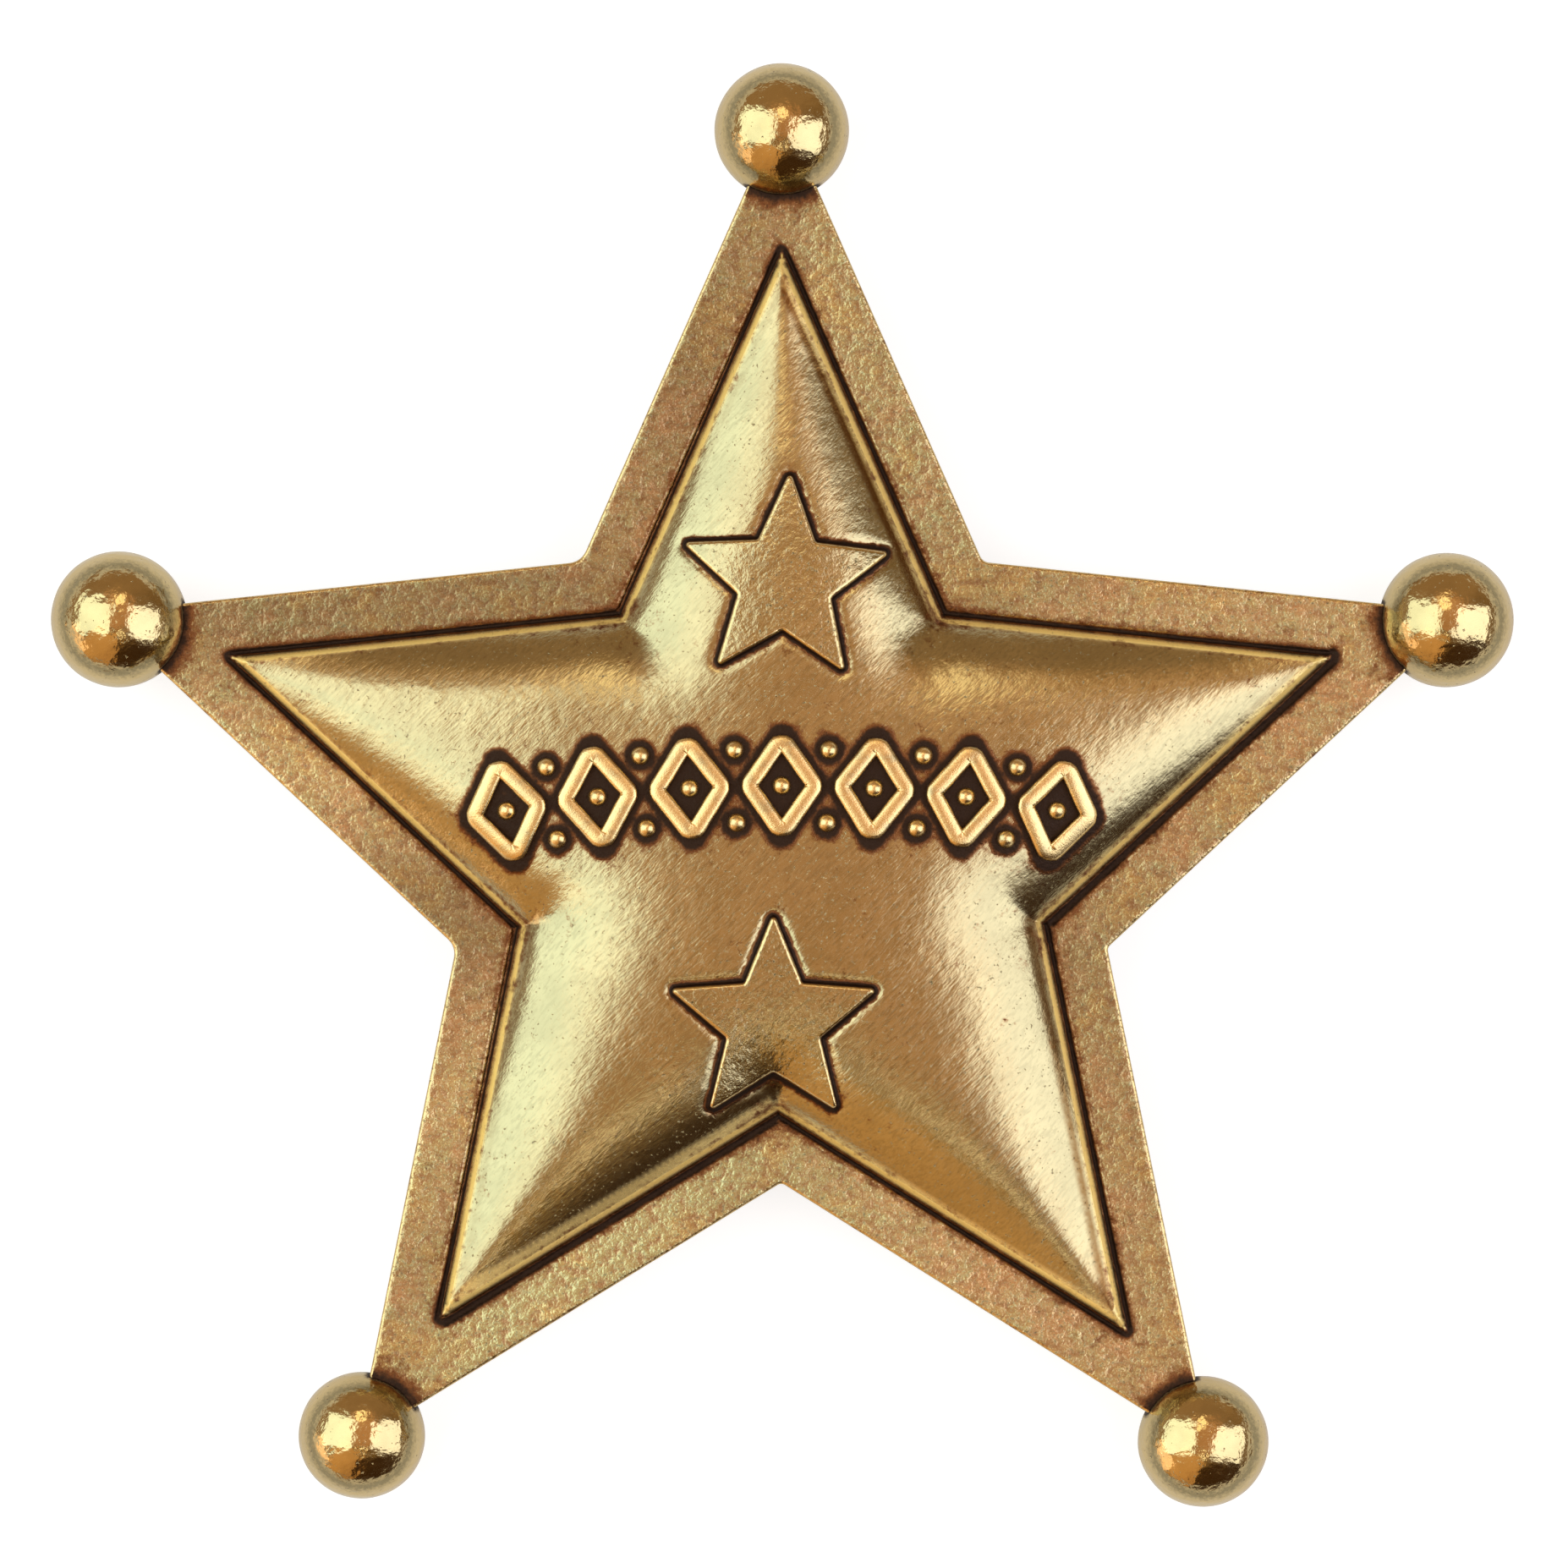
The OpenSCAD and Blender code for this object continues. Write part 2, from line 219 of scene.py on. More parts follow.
class RowSizes(bpy.types.PropertyGroup):
    """Sizes of the arched row"""

    lozenges: IntProperty(name="Lozenges", description="Number of lozenges in the row", default=7, min=1)
    lozenge_w: length("Lozenge width", "Width of a lozenge", 4.2)
    lozenge_l: length("Lozenge height", "Height of a lozenge", 5.6)
    lozenge_gap: length("Lozenge gap", "Space between two lozenges", 0.2)
    line_w: length("Line width", "Width of a lozenge's raised line", 0.85)
    boxiness: number("Stroke boxiness", "Section of the line: 1 for round, less for boxier", 0.48, "FACTOR")
    pellet_d: length("Pellet diameter", "Diameter of the pellets in and between the lozenges", 0.9)
    pellet_rise: number("Pellet rise", "Place of a pellet, as a share of half a lozenge", 0.62, "FACTOR")
    arch_r: length("Arch radius", "Radius of the arch that the row follows", 72)
    arch_y: length("Arch height", "Height of the row's middle above the star's centre", 2.6)


class PinSizes(bpy.types.PropertyGroup):
    """Sizes of the brooch pin and of the bosses that carry it"""

    bar_l: length("Bar length", "Length of the base bar", 28)
    bar_w: length("Bar width", "Width of the base bar", 4.6)
    bar_t: length("Bar thickness", "Thickness of the base bar", 0.8)
    bar_y: length("Bar place", "Height of the bar above the star's centre", 4.6)
    wire_d: length("Wire diameter", "Diameter of the pin's wire", 1)
    wire_z: length("Wire height", "Height of the wire above the surface", 1.2)
    lug_t: length("Lug thickness", "Thickness of the two lugs", 1.2)
    edge_round: length("Edge rounding", "Radius along the edges of the pin and the bosses", 0.12)
    boss_span: length("Boss span", "Distance between the two bosses", 17)
    boss_d: length("Boss diameter", "Diameter of a boss", 3.6)
    boss_l: length("Boss length", "Length of a boss, up into the casting", 1.6)
    boss_gap: length("Boss gap", "Space between a boss and the bar", 0.05)


class Finish(bpy.types.PropertyGroup):
    """Colours of the metal"""

    brass: colour("Brass", "Satin brass of the raised star", 0.56, 0.48, 0.265)
    bronze: colour("Bronze", "Browner, sandy brass of the rim", 0.475, 0.41, 0.225)
    copper: colour("Copper bloom", "Redder patches in the rim", 0.54, 0.37, 0.20)
    olive: colour("Olive bloom", "Greener patches in the rim", 0.48, 0.48, 0.26)
    ochre: colour("Ochre bloom", "Yellower patches in the rim", 0.66, 0.42, 0.14)
    worn: colour("Worn brass", "Rubbed-bright brass on edges and relief", 0.80, 0.60, 0.28)
    # Painted reflection of the pale floor in the steep foot: bright gold, made mostly unmetallic below
    foot_sheen_gold: colour("Burnished brass", "Burnished bead along the raised star's foot", 1.0, 0.76, 0.26)
    # Painted shade: dark brown on the raised star's first slope, on the edges that lie in shade
    foot_shade_brown: colour("Dirt", "Brown dirt low on the raised star's slopes", 0.22, 0.115, 0.035)
    oxide: colour("Oxide", "Darkening in grooves and round the relief", 0.030, 0.014, 0.007)
    rust: colour("Red tarnish", "Red-brown tarnish beside the dark recesses", 0.22, 0.085, 0.030)
    ball_brass: colour("Ball brass", "Polished brass of the balls", 0.68, 0.53, 0.26)
    # Painted reflection: a lighter, warmer tint of the pale floor's reflection round the balls' low sides
    ball_side: colour("Ball side", "Duller cast brass round the balls' sides", 0.76, 0.59, 0.29)
    pin_brass: colour("Pin brass", "Plain brass of the brooch pin", 0.62, 0.45, 0.22)


class Stage(bpy.types.PropertyGroup):
    """Light, floor and camera"""

    lens: FloatProperty(name="Lens", description="Focal length of the camera", default=300, unit="CAMERA")
    view_w: length("View width", "Width of the picture at the balls' middles", 75.06)
    view_x: length("View X", "Middle of the picture", 0.08)
    view_y: length("View Y", "Middle of the picture", 0.05)
    background: colour("Background", "What the camera sees past the floor", 0.93, 0.93, 0.92)
    paper: colour("Paper", "Pale floor under the badge", 0.36, 0.37, 0.38)
    paper_light: colour("Paper fibres", "Lighter fibres in that floor", 0.39, 0.40, 0.41)
    ceiling: colour("Ceiling", "Warm ceiling", 0.62, 0.32, 0.145)
    room_side: colour("Side of the room", "Dim room past the right arms", 0.22, 0.125, 0.045)
    room_top: colour("Upper room", "Dim room past the top arm", 0.36, 0.22, 0.11)
    room_low: colour("Lower room", "Dim room past the lower arms", 0.055, 0.025, 0.008)


# Outlines of the star


def polar(reach, degrees):
    """A point at a reach and a direction."""
    return np.array([reach * math.cos(math.radians(degrees)), reach * math.sin(math.radians(degrees))])


def star_corners(sizes):
    """Corners of the star, counter-clockwise: an arm's tip, then the notch after it."""
    corners = []
    for i, (direction, reach, _, _) in enumerate(ARMS):
        following = ARMS[(i + 1) % ARM_COUNT][0] + (360 if i == ARM_COUNT - 1 else 0)
        corners.append(polar(sizes.arm_reach * reach, direction))
        corners.append(polar(sizes.notch_reach, (direction + following) / 2))
    return np.array(corners)


def edge_reach(tip, notch):
    """Distance from a star's centre to the line of an edge, from the reaches of its tips and notches."""
    half = math.radians(SECTOR / 2)
    return tip * notch * math.sin(half) / math.hypot(tip - notch * math.cos(half), notch * math.sin(half))


def inset_corners(sizes, inset):
    """The star's corners an inset further in, with each edge's own shift past the groove's outer line."""
    corners = star_corners(sizes)
    shifts = inset + EDGE_SHIFTS * MM * np.clip((inset / sizes.rim_w - 0.9) * 10, 0, 1)
    along = np.roll(corners, -1, axis=0) - corners
    inward = np.column_stack([-along[:, 1], along[:, 0]]) / np.linalg.norm(along, axis=1)[:, None]
    reach = np.sum(inward * corners, axis=1) + shifts
    before = np.roll(inward, 1, axis=0)
    before_reach = np.roll(reach, 1)
    spread = before[:, 0] * inward[:, 1] - before[:, 1] * inward[:, 0]
    x = (before_reach * inward[:, 1] - reach * before[:, 1]) / spread
    y = (reach * before[:, 0] - before_reach * inward[:, 0]) / spread
    return np.column_stack([x, y])


def balls(sizes):
    """Place and radius of each ball, from the star's centre."""
    return [
        (polar(sizes.arm_reach * reach * place, direction), sizes.ball_d / 2 * size)
        for direction, reach, place, size in ARMS
    ]


def star_centre(sizes):
    """The star's centre in the row frame, whose middle is the middle of the balls' box."""
    low = np.min([at - radius for at, radius in balls(sizes)], axis=0)
    high = np.max([at + radius for at, radius in balls(sizes)], axis=0)
    return -(low + high) / 2


def rim_top(sizes):
    """Height of the flat rim above the surface that the badge lies on."""
    return sizes.ball_d / 2 + sizes.rim_t / 2


def rounded_loop(corners, radii, straight, bend):
    """Points round a closed outline: `straight` of them along each edge, and an arc at each corner."""
    count = len(corners)
    arcs = []
    for i, here in enumerate(corners):
        back = corners[i - 1] - here
        ahead = corners[(i + 1) % count] - here
        back, ahead = back / np.linalg.norm(back), ahead / np.linalg.norm(ahead)
        half = math.acos(float(back @ ahead)) / 2
        bisector = (back + ahead) / np.linalg.norm(back + ahead)
        middle = here + bisector * radii[i] / math.sin(half)
        first = here + back * radii[i] / math.tan(half) - middle
        last = here + ahead * radii[i] / math.tan(half) - middle
        turn = math.pi - 2 * half
        arcs.append(
            [
                middle + (first * math.sin((1 - t) * turn) + last * math.sin(t * turn)) / math.sin(turn)
                for t in np.linspace(0, 1, bend + 1)
            ]
        )
    loop = []
    for i, arc in enumerate(arcs):
        loop.extend(arc)
        start, end = arc[-1], arcs[(i + 1) % count][0]
        loop.extend(start + (end - start) * k / straight for k in range(1, straight))
    return np.array(loop)


def outline(sizes, inset):
    """The star's outline an inset further in, with the notches that the casting left round."""
    fade = min(1.0, max(0.0, 1.2 - inset / sizes.rim_w))
    radii = [radius * MM for notch in NOTCH_ROUNDS for radius in (TIP_ROUND, notch * fade + LEAST_ROUND)]
    return rounded_loop(inset_corners(sizes, inset), radii, *STAR_POINTS)


def small_star_loop(sizes, star, grow):
    """A small star's outline, grown or shrunk, with blunt points."""
    x, y, turn = star
    reach = sizes.small_reach * (1 + grow / edge_reach(sizes.small_reach, sizes.small_reach * SMALL_INNER))
    corners = [
        np.array([x, y]) * MM + polar(reach * share, 90 + turn + (i + step) * SECTOR)
        for i in range(ARM_COUNT)
        for share, step in ((1, 0), (SMALL_INNER, 0.5))
    ]
    radii = [max(0.04 * MM, 0.2 * MM + grow), max(0.04 * MM, 0.14 * MM - grow)] * ARM_COUNT
    return rounded_loop(np.array(corners), radii, *SMALL_POINTS)


def lozenge_lines(row):
    """Centre lines of the lozenges, as closed outlines, from the star's centre."""
    half_w = (row.lozenge_w - row.line_w * LINE_OFF_W) / 2
    half_l = (row.lozenge_l - row.line_w * LINE_OFF_L) / 2
    shape = np.array([[half_w, 0], [0, half_l], [-half_w, 0], [0, -half_l]])
    shapes = []
    for i in range(row.lozenges):
        turn = -(i - (row.lozenges - 1) / 2) * (row.lozenge_w + row.lozenge_gap) / row.arch_r
        middle = np.array([0, row.arch_y - row.arch_r]) + polar(row.arch_r, 90 + math.degrees(turn))
        turned = np.array([[math.cos(turn), math.sin(turn)], [-math.sin(turn), math.cos(turn)]])
        shapes.append(shape @ turned + middle)
    return shapes


def pellet_places(row):
    """Middles of the pellets, from the star's centre."""
    pitch = row.lozenge_w + row.lozenge_gap
    rise = row.pellet_rise * row.lozenge_l / 2
    spots = [(i - (row.lozenges - 1) / 2, 0) for i in range(row.lozenges)]
    spots += [(i + 1 - row.lozenges / 2, side * rise) for i in range(row.lozenges - 1) for side in (-1, 1)]
    centre = np.array([0, row.arch_y - row.arch_r])
    return [
        centre + polar(row.arch_r + up, 90 - math.degrees(step * pitch / row.arch_r)) for step, up in spots
    ]




# Distances and fields over the faces


def segment_distances(points, corners):
    """Distance from each point to each edge of a closed outline."""
    found = []
    for start, end in zip(corners, np.roll(corners, -1, axis=0)):
        along = end - start
        t = np.clip((points - start) @ along / (along @ along), 0, 1)
        found.append(np.linalg.norm(points - start - t[:, None] * along, axis=1))
    return np.array(found)


def inside(points, corners):
    """Which points lie inside a closed outline."""
    result = np.zeros(len(points), bool)
    x, y = points[:, 0], points[:, 1]
    for (ax, ay), (bx, by) in zip(corners, np.roll(corners, -1, axis=0)):
        if ay == by:
            continue
        crosses = (ay > y) != (by > y)
        result ^= crosses & (x < (bx - ax) * (y - ay) / (by - ay) + ax)
    return result


def signed_distance(points, corners):
    """Distance from each point to a closed outline, positive inside."""
    distance = segment_distances(points, corners).min(axis=0)
    return np.where(inside(points, corners), distance, -distance)


def blended_distance(points, corners, crisp):
    """Distance to an outline's edges, blended so that ridges come out rounded."""
    distances = np.maximum(segment_distances(points, corners), 1e-6)
    return np.power(np.power(distances, -crisp).sum(axis=0), -1 / crisp)


def ramp(distance, width):
    """0 at a distance of nothing, rising evenly to 1 over a width."""
    return np.clip(distance / width, 0, 1)


def bell(distance, width):
    """1 at a distance of nothing, falling off on both sides over a width."""
    return np.exp(-((distance / width) ** 2))


def fading(distance, width):
    """1 up to a distance of nothing, fading out past it over a width."""
    return np.exp(-np.maximum(distance, 0) / width)


def crown(sizes, points):
    """How much of the raised star's height is left, from 1 at the centre to 0 at the arms' tips."""
    tip = sizes.arm_reach * (1 - sizes.rim_w / edge_reach(sizes.arm_reach, sizes.notch_reach))
    return 1 - np.minimum(np.linalg.norm(points, axis=1) / tip, 1) ** sizes.crown_fall


def small_star_fields(sizes, star, points):
    """A small star's relief, how much patina darkens the ground round it, its rubbed edge, and how brushed
    its top is.
    """
    depth = signed_distance(points, small_star_loop(sizes, star, 0))
    outside = depth < 0
    relief = sizes.relief_h * (1 - (1 - ramp(depth, sizes.small_edge)) ** EDGE_POWER) ** (1 / EDGE_POWER)
    moat = np.clip(1 + depth / MOAT_W, 0, 1) * outside
    relief -= sizes.moat_d * moat**2 * (3 - 2 * moat) * ramp(-depth, 0.05 * MM)
    clean_and_unshaded = 1 - np.clip(1.4 - np.maximum(-depth, 0) / STAR_DIRT, 0, 1) * (depth < 0.04 * MM)
    clean_and_unshaded *= 1 - 0.40 * fading(-depth, STAR_HAZE) * outside
    wear = 0.8 * bell(depth - sizes.small_edge * 0.8, 0.09 * MM)
    return relief, clean_and_unshaded, wear, np.where(depth > 0, 0.5, 1.0)


def row_clean(row, points):
    """How free of patina the ground is round the arched row, from 0 in the dark to 1."""
    shapes = lozenge_lines(row)
    from_line = np.min([segment_distances(points, shape).min(axis=0) for shape in shapes], axis=0)
    from_pellet = np.min([np.linalg.norm(points - at, axis=1) for at in pellet_places(row)], axis=0)
    beside = np.maximum(np.minimum(from_line - row.line_w / 2, from_pellet - row.pellet_d / 2), 0)
    clean_and_unshaded = 1 - np.clip(1.3 - beside / ROW_DIRT, 0, 1)
    clean_and_unshaded *= 1 - 0.65 * np.any([inside(points, shape) for shape in shapes], axis=0)
    return clean_and_unshaded * (1 - 0.35 * fading(beside, ROW_HAZE))


def groove_clean_and_unshaded(in_star, groove_w, dark_w, past_foot):
    """How free of patina the metal is in and beside the groove, with painted shade along the crease just
    inside the foot band, from 0 in the dark to 1.
    """
    clean_and_unshaded = 1 - np.clip(1.35 - np.abs(in_star + dark_w * 0.52) / (dark_w * 0.46), 0, 1)
    clean_and_unshaded *= 1 - 0.48 * fading(-in_star, GROOVE_HAZE) * (in_star < -TOUCH)
    clean_and_unshaded *= 1 - 0.30 * bell(in_star + groove_w + 0.09 * MM, 0.11 * MM)
    # Painted shade: a dark line along the crease just inside the foot band
    return clean_and_unshaded * (1 - 0.35 * bell(past_foot - 0.08 * MM, 0.12 * MM))


def face_fields(sizes, row, points):
    """What each point of the face needs: its base height, its part in the raised star, and its finish."""
    foot = inset_corners(sizes, sizes.rim_w)
    spring = inset_corners(sizes, sizes.rim_w + sizes.foot_w)
    in_star = signed_distance(points, foot)
    past_foot = in_star - sizes.foot_w
    nearest = segment_distances(points, foot).argmin(axis=0)
    raised = in_star >= -TOUCH
    groove_w = sizes.groove_w + EDGE_SHIFTS[nearest] * MM
    groove = ramp(-in_star, groove_w)
    lean = np.clip(1 + in_star / (sizes.rim_w - sizes.rim_round), 0, 1) * ~raised
    base = rim_top(sizes) - sizes.groove_d * np.sin(math.pi * groove) ** 1.4 - sizes.rim_lean * lean * groove
    relief = sizes.foot_h * ramp(in_star, sizes.foot_w)
    clean_and_unshaded = row_clean(row, points)
    wear = 0.5 * bell(signed_distance(points, star_corners(sizes)), 0.14 * MM)
    worked = np.ones(len(points))
    for star in SMALL_STARS:
        star_relief, star_clean, star_wear, star_worked = small_star_fields(sizes, star, points)
        relief += star_relief
        clean_and_unshaded *= star_clean
        wear += star_wear
        worked *= star_worked
    from_tip = np.linalg.norm(points[:, None] - foot[None, ::2], axis=2).min(axis=1)
    share = EDGE_GROOVES[nearest]
    dark_w = groove_w * (share + (1.1 - share) * bell(from_tip, TIP_FILL))
    clean_and_unshaded *= groove_clean_and_unshaded(in_star, groove_w, dark_w, past_foot)
    # Painted shade round each notch between two arms
    for notch in foot[1::2]:
        clean_and_unshaded *= 1 - 0.35 * fading(np.linalg.norm(points - notch, axis=1), NOTCH_HAZE)
    # The casting made darker round each ball, thick and then thin
    for at, radius in balls(sizes):
        from_ball = np.linalg.norm(points - at, axis=1) - radius
        clean_and_unshaded *= (1 - 0.8 * fading(from_ball, BALL_DARK)) * (1 - 0.22 * fading(from_ball, BALL_HAZE))
    # Painted reflection along the foot: over the chamfer and a little way up each edge's slope
    band = 0.6 * np.clip(1 - (in_star - EDGE_BANDS[nearest] * MM) / (0.15 * MM), 0, 1)
    burnished = np.maximum(np.clip(1 - past_foot / (0.05 * MM), 0, 1), band) * ramp(in_star, 0.06 * MM)
    # The rim's painted light and shade, and its olive share, by direction round the star
    around = np.degrees(np.arctan2(points[:, 1], points[:, 0])) % 360
    angles, light_shares, greens = np.array(RIM_LIGHT_AND_OLIVE).T
    return {
        "tone": np.interp(around, angles, light_shares, period=360),
        "green": np.interp(around, angles, greens, period=360),
        # Painted shade on the first slope above the foot, per edge
        "dirt": EDGE_FOOT_SHADE[nearest] * bell(past_foot - 0.35 * MM, 0.28 * MM) * raised,
        "base": base,
        "gain": (past_foot >= -TOUCH) * crown(sizes, points),
        "foot": blended_distance(points, spring, sizes.ridge_crisp),
        "relief": relief,
        "grime": 1 - np.clip(clean_and_unshaded, 0, 1),
        "wear": wear,
        "raised": raised,
        "worked": worked,
        "burnished": burnished,
    }


def plain_fields(count, **known):
    """The same for a part of the casting that is neither raised nor rubbed, apart from what is known."""
    return {name: np.zeros(count) + known.get(name, 1.0 if name == "tone" else 0.0) for name in FIELDS}


def back_fields(sizes, points):
    """What each point of the back needs, as for the face."""
    hollow = inset_corners(sizes, sizes.rim_w + sizes.wall)
    spring = inset_corners(sizes, sizes.rim_w + sizes.foot_w)
    height = (sizes.puff_h + sizes.rim_t - sizes.wall) / (sizes.puff_h - sizes.foot_h)
    from_spring = blended_distance(points, spring, sizes.ridge_crisp)
    return plain_fields(
        len(points),
        base=rim_top(sizes) - sizes.rim_t,
        gain=inside(points, hollow) * height * crown(sizes, points),
        foot=np.maximum(from_spring - sizes.wall + sizes.foot_w, 0),
        grime=0.30 + 0.45 * fading(np.abs(signed_distance(points, hollow)), 0.8 * MM),
    )


# Meshes


def triangulate(loops, grid):
    """Triangles that keep every loop as edges, with the grid's points between, the outermost loop first."""
    kept = KDTree(sum(len(loop) for loop in loops))
    for i, (x, y) in enumerate(np.vstack(loops)):
        kept.insert((x, y, 0), i)
    kept.balance()
    step = abs(grid[1][0] - grid[0][0])
    grid = grid[inside(grid, loops[0])]
    grid = np.array([p for p in grid if kept.find((p[0], p[1], 0))[2] > step * 0.55])
    points = np.vstack([*loops, grid]) / MM
    edges = []
    start = 0
    for loop in loops:
        edges += [(start + k, start + (k + 1) % len(loop)) for k in range(len(loop))]
        start += len(loop)
    made = delaunay_2d_cdt([Vector(p) for p in points.tolist()], edges, [], 1, 1e-5)
    places = np.array([tuple(p) for p in made[0]]) * MM
    triangles = np.array(made[2])
    a, b, c = (places[triangles[:, k]] for k in range(3))
    turned = (b[:, 0] - a[:, 0]) * (c[:, 1] - a[:, 1]) - (b[:, 1] - a[:, 1]) * (c[:, 0] - a[:, 0]) < 0
    triangles[turned] = triangles[turned][:, ::-1]
    new_index = {before: now for now, group in enumerate(made[3]) for before in group}
    return places, triangles, [new_index[k] for k in range(len(loops[0]))]


def hex_grid(reach, step):
    """Evenly spread points over a square about the centre."""
    rows = np.arange(-reach, reach, step * math.sqrt(0.75))
    columns = np.arange(-reach, reach, step)
    return np.array([(x + (i % 2) * step / 2, y) for i, y in enumerate(rows) for x in columns])


def mesh_of(name, points, faces, fields=None):
    """A mesh with a stored value per point for each field."""
    mesh = bpy.data.meshes.new(name)
    mesh.from_pydata(np.asarray(points).tolist(), [], np.asarray(faces).tolist())
    for key, values in (fields or {}).items():
        mesh.attributes.new(key, "FLOAT", "POINT").data.foreach_set("value", np.asarray(values, np.float32))
    return mesh


def new_object(name, mesh):
    """A mesh as an object in the scene."""
    obj = bpy.data.objects.new(name, mesh)
    bpy.context.scene.collection.objects.link(obj)
    return obj


def face_loops(sizes):
    """Loops of points on the face: round the rim, the groove, the foot and the small stars."""
    groove = sizes.rim_w - sizes.groove_w
    spring = sizes.rim_w + sizes.foot_w
    insets = [sizes.rim_round, 0.5 * MM, groove - 0.12 * MM]
    insets += [groove + sizes.groove_w * share for share in (0, 0.25, 0.5, 0.75, 1)]
    insets += [spring - sizes.foot_w / 2, *(spring + past * MM for past in SPRING_LOOPS)]
    loops = [outline(sizes, inset) for inset in insets]
    return loops + [small_star_loop(sizes, star, grow * MM) for star in SMALL_STARS for grow in SMALL_LOOPS]


def edge_levels(sizes):
    """How far in and how high each loop of points round the rim's edge lies, from the top down."""
    top = rim_top(sizes)
    bottom = top - sizes.rim_t
    steps = [(math.sin(math.radians(t)), math.cos(math.radians(t))) for t in (30, 60, 90)]
    upper = [(sizes.rim_round * (1 - out), top - sizes.rim_round * (1 - down)) for out, down in steps]
    lower = [(sizes.rim_round * (1 - out), bottom + sizes.rim_round * (1 - down)) for out, down in steps]
    return [*upper, (0.0, (top + bottom) / 2), *reversed(lower)]


def casting_mesh(sizes, row):
    """The flat lay-out of the casting: face, edge and back, with the fields that give it its heights."""
    span = sizes.arm_reach * 1.05
    face, face_triangles, face_rim = triangulate(face_loops(sizes), hex_grid(span, sizes.mesh_step))
    hollow = sizes.rim_w + sizes.wall
    insets = [sizes.rim_round, 0.9 * MM, *(hollow + past * MM for past in BACK_LOOPS)]
    back_loops = [outline(sizes, inset) for inset in insets]
    back, back_triangles, back_rim = triangulate(back_loops, hex_grid(span, sizes.mesh_step * 3))
    fields = [face_fields(sizes, row, face), back_fields(sizes, back)]
    places = [face, back]
    triangles = [face_triangles, back_triangles[:, ::-1] + len(face)]
    rings = [np.array(face_rim)]
    start = len(face) + len(back)
    for inset, height in edge_levels(sizes):
        loop = outline(sizes, inset)
        wear = bell(rim_top(sizes) - height - 0.05 * MM, 0.2 * MM)
        fields.append(plain_fields(len(loop), base=height, grime=0.2, wear=wear))
        places.append(loop)
        rings.append(np.arange(start, start + len(loop)))
        start += len(loop)
    rings.append(np.array(back_rim) + len(face))
    for upper, lower in zip(rings, rings[1:]):
        next_upper, next_lower = np.roll(upper, -1), np.roll(lower, -1)
        triangles.append(np.column_stack([upper, lower, next_lower]))
        triangles.append(np.column_stack([upper, next_lower, next_upper]))
    joined = {name: np.concatenate([part[name] for part in fields]) for name in FIELDS}
    points = np.column_stack([np.vstack(places) + star_centre(sizes), joined["base"]])
    return mesh_of("star_casting", points, np.vstack(triangles), joined)


def lathe(points, axis_start, axis, sides):
    """A closed turned shape with flat ends, from pairs of distance along the axis and radius."""
    axis = Vector(axis).normalized()
    side = axis.orthogonal().normalized()
    other = axis.cross(side)
    turns = [2 * math.pi * k / sides for k in range(sides)]
    verts = [
        Vector(axis_start) + axis * along + (side * math.cos(turn) + other * math.sin(turn)) * radius
        for along, radius in points
        for turn in turns
    ]
    faces = [
        (r * sides + k, r * sides + (k + 1) % sides, (r + 1) * sides + (k + 1) % sides, (r + 1) * sides + k)
        for r in range(len(points) - 1)
        for k in range(sides)
    ]
    faces += [tuple(range(sides - 1, -1, -1)), tuple(range((len(points) - 1) * sides, len(points) * sides))]
    return verts, faces


def prism(profile, start, axis, thickness, u, v):
    """A closed flat shape: an outline in the plane of u and v, made as thick as asked along the axis."""
    start, axis, u, v = Vector(start), Vector(axis), Vector(u), Vector(v)
    count = len(profile)
    verts = [start + u * a + v * b + axis * depth for depth in (0, thickness) for a, b in profile]
    faces = [tuple(range(count - 1, -1, -1)), tuple(range(count, 2 * count))]
    faces += [(k, (k + 1) % count, count + (k + 1) % count, count + k) for k in range(count)]
    return verts, faces


def solid_from(name, parts, rounding):
    """One mesh of closed parts, each with its edges rounded."""
    whole = bmesh.new()
    for verts, faces in parts:
        part = bmesh.new()
        made = [part.verts.new(v) for v in verts]
        for face in faces:
            part.faces.new([made[k] for k in face])
        bmesh.ops.recalc_face_normals(part, faces=part.faces)
        sharp = [e for e in part.edges if e.calc_face_angle(0) > math.radians(35)]
        bmesh.ops.bevel(
            part, geom=sharp, offset=rounding, segments=3, profile=0.5, affect="EDGES", clamp_overlap=True
        )
        scratch = bpy.data.meshes.new("part")
        part.to_mesh(scratch)
        part.free()
        whole.from_mesh(scratch)
        bpy.data.meshes.remove(scratch)
    mesh = bpy.data.meshes.new(name)
    whole.to_mesh(mesh)
    whole.free()
    mesh.shade_smooth()
    return mesh


def slot_outline(span, width, sides=24):
    """An outline with two straight sides and round ends."""
    half, radius = (span - width) / 2, width / 2
    turns = np.linspace(-math.pi / 2, math.pi / 2, sides)
    right = [(half + radius * math.cos(t), radius * math.sin(t)) for t in turns]
    return right + [(-x, -y) for x, y in right]


# Trees of nodes


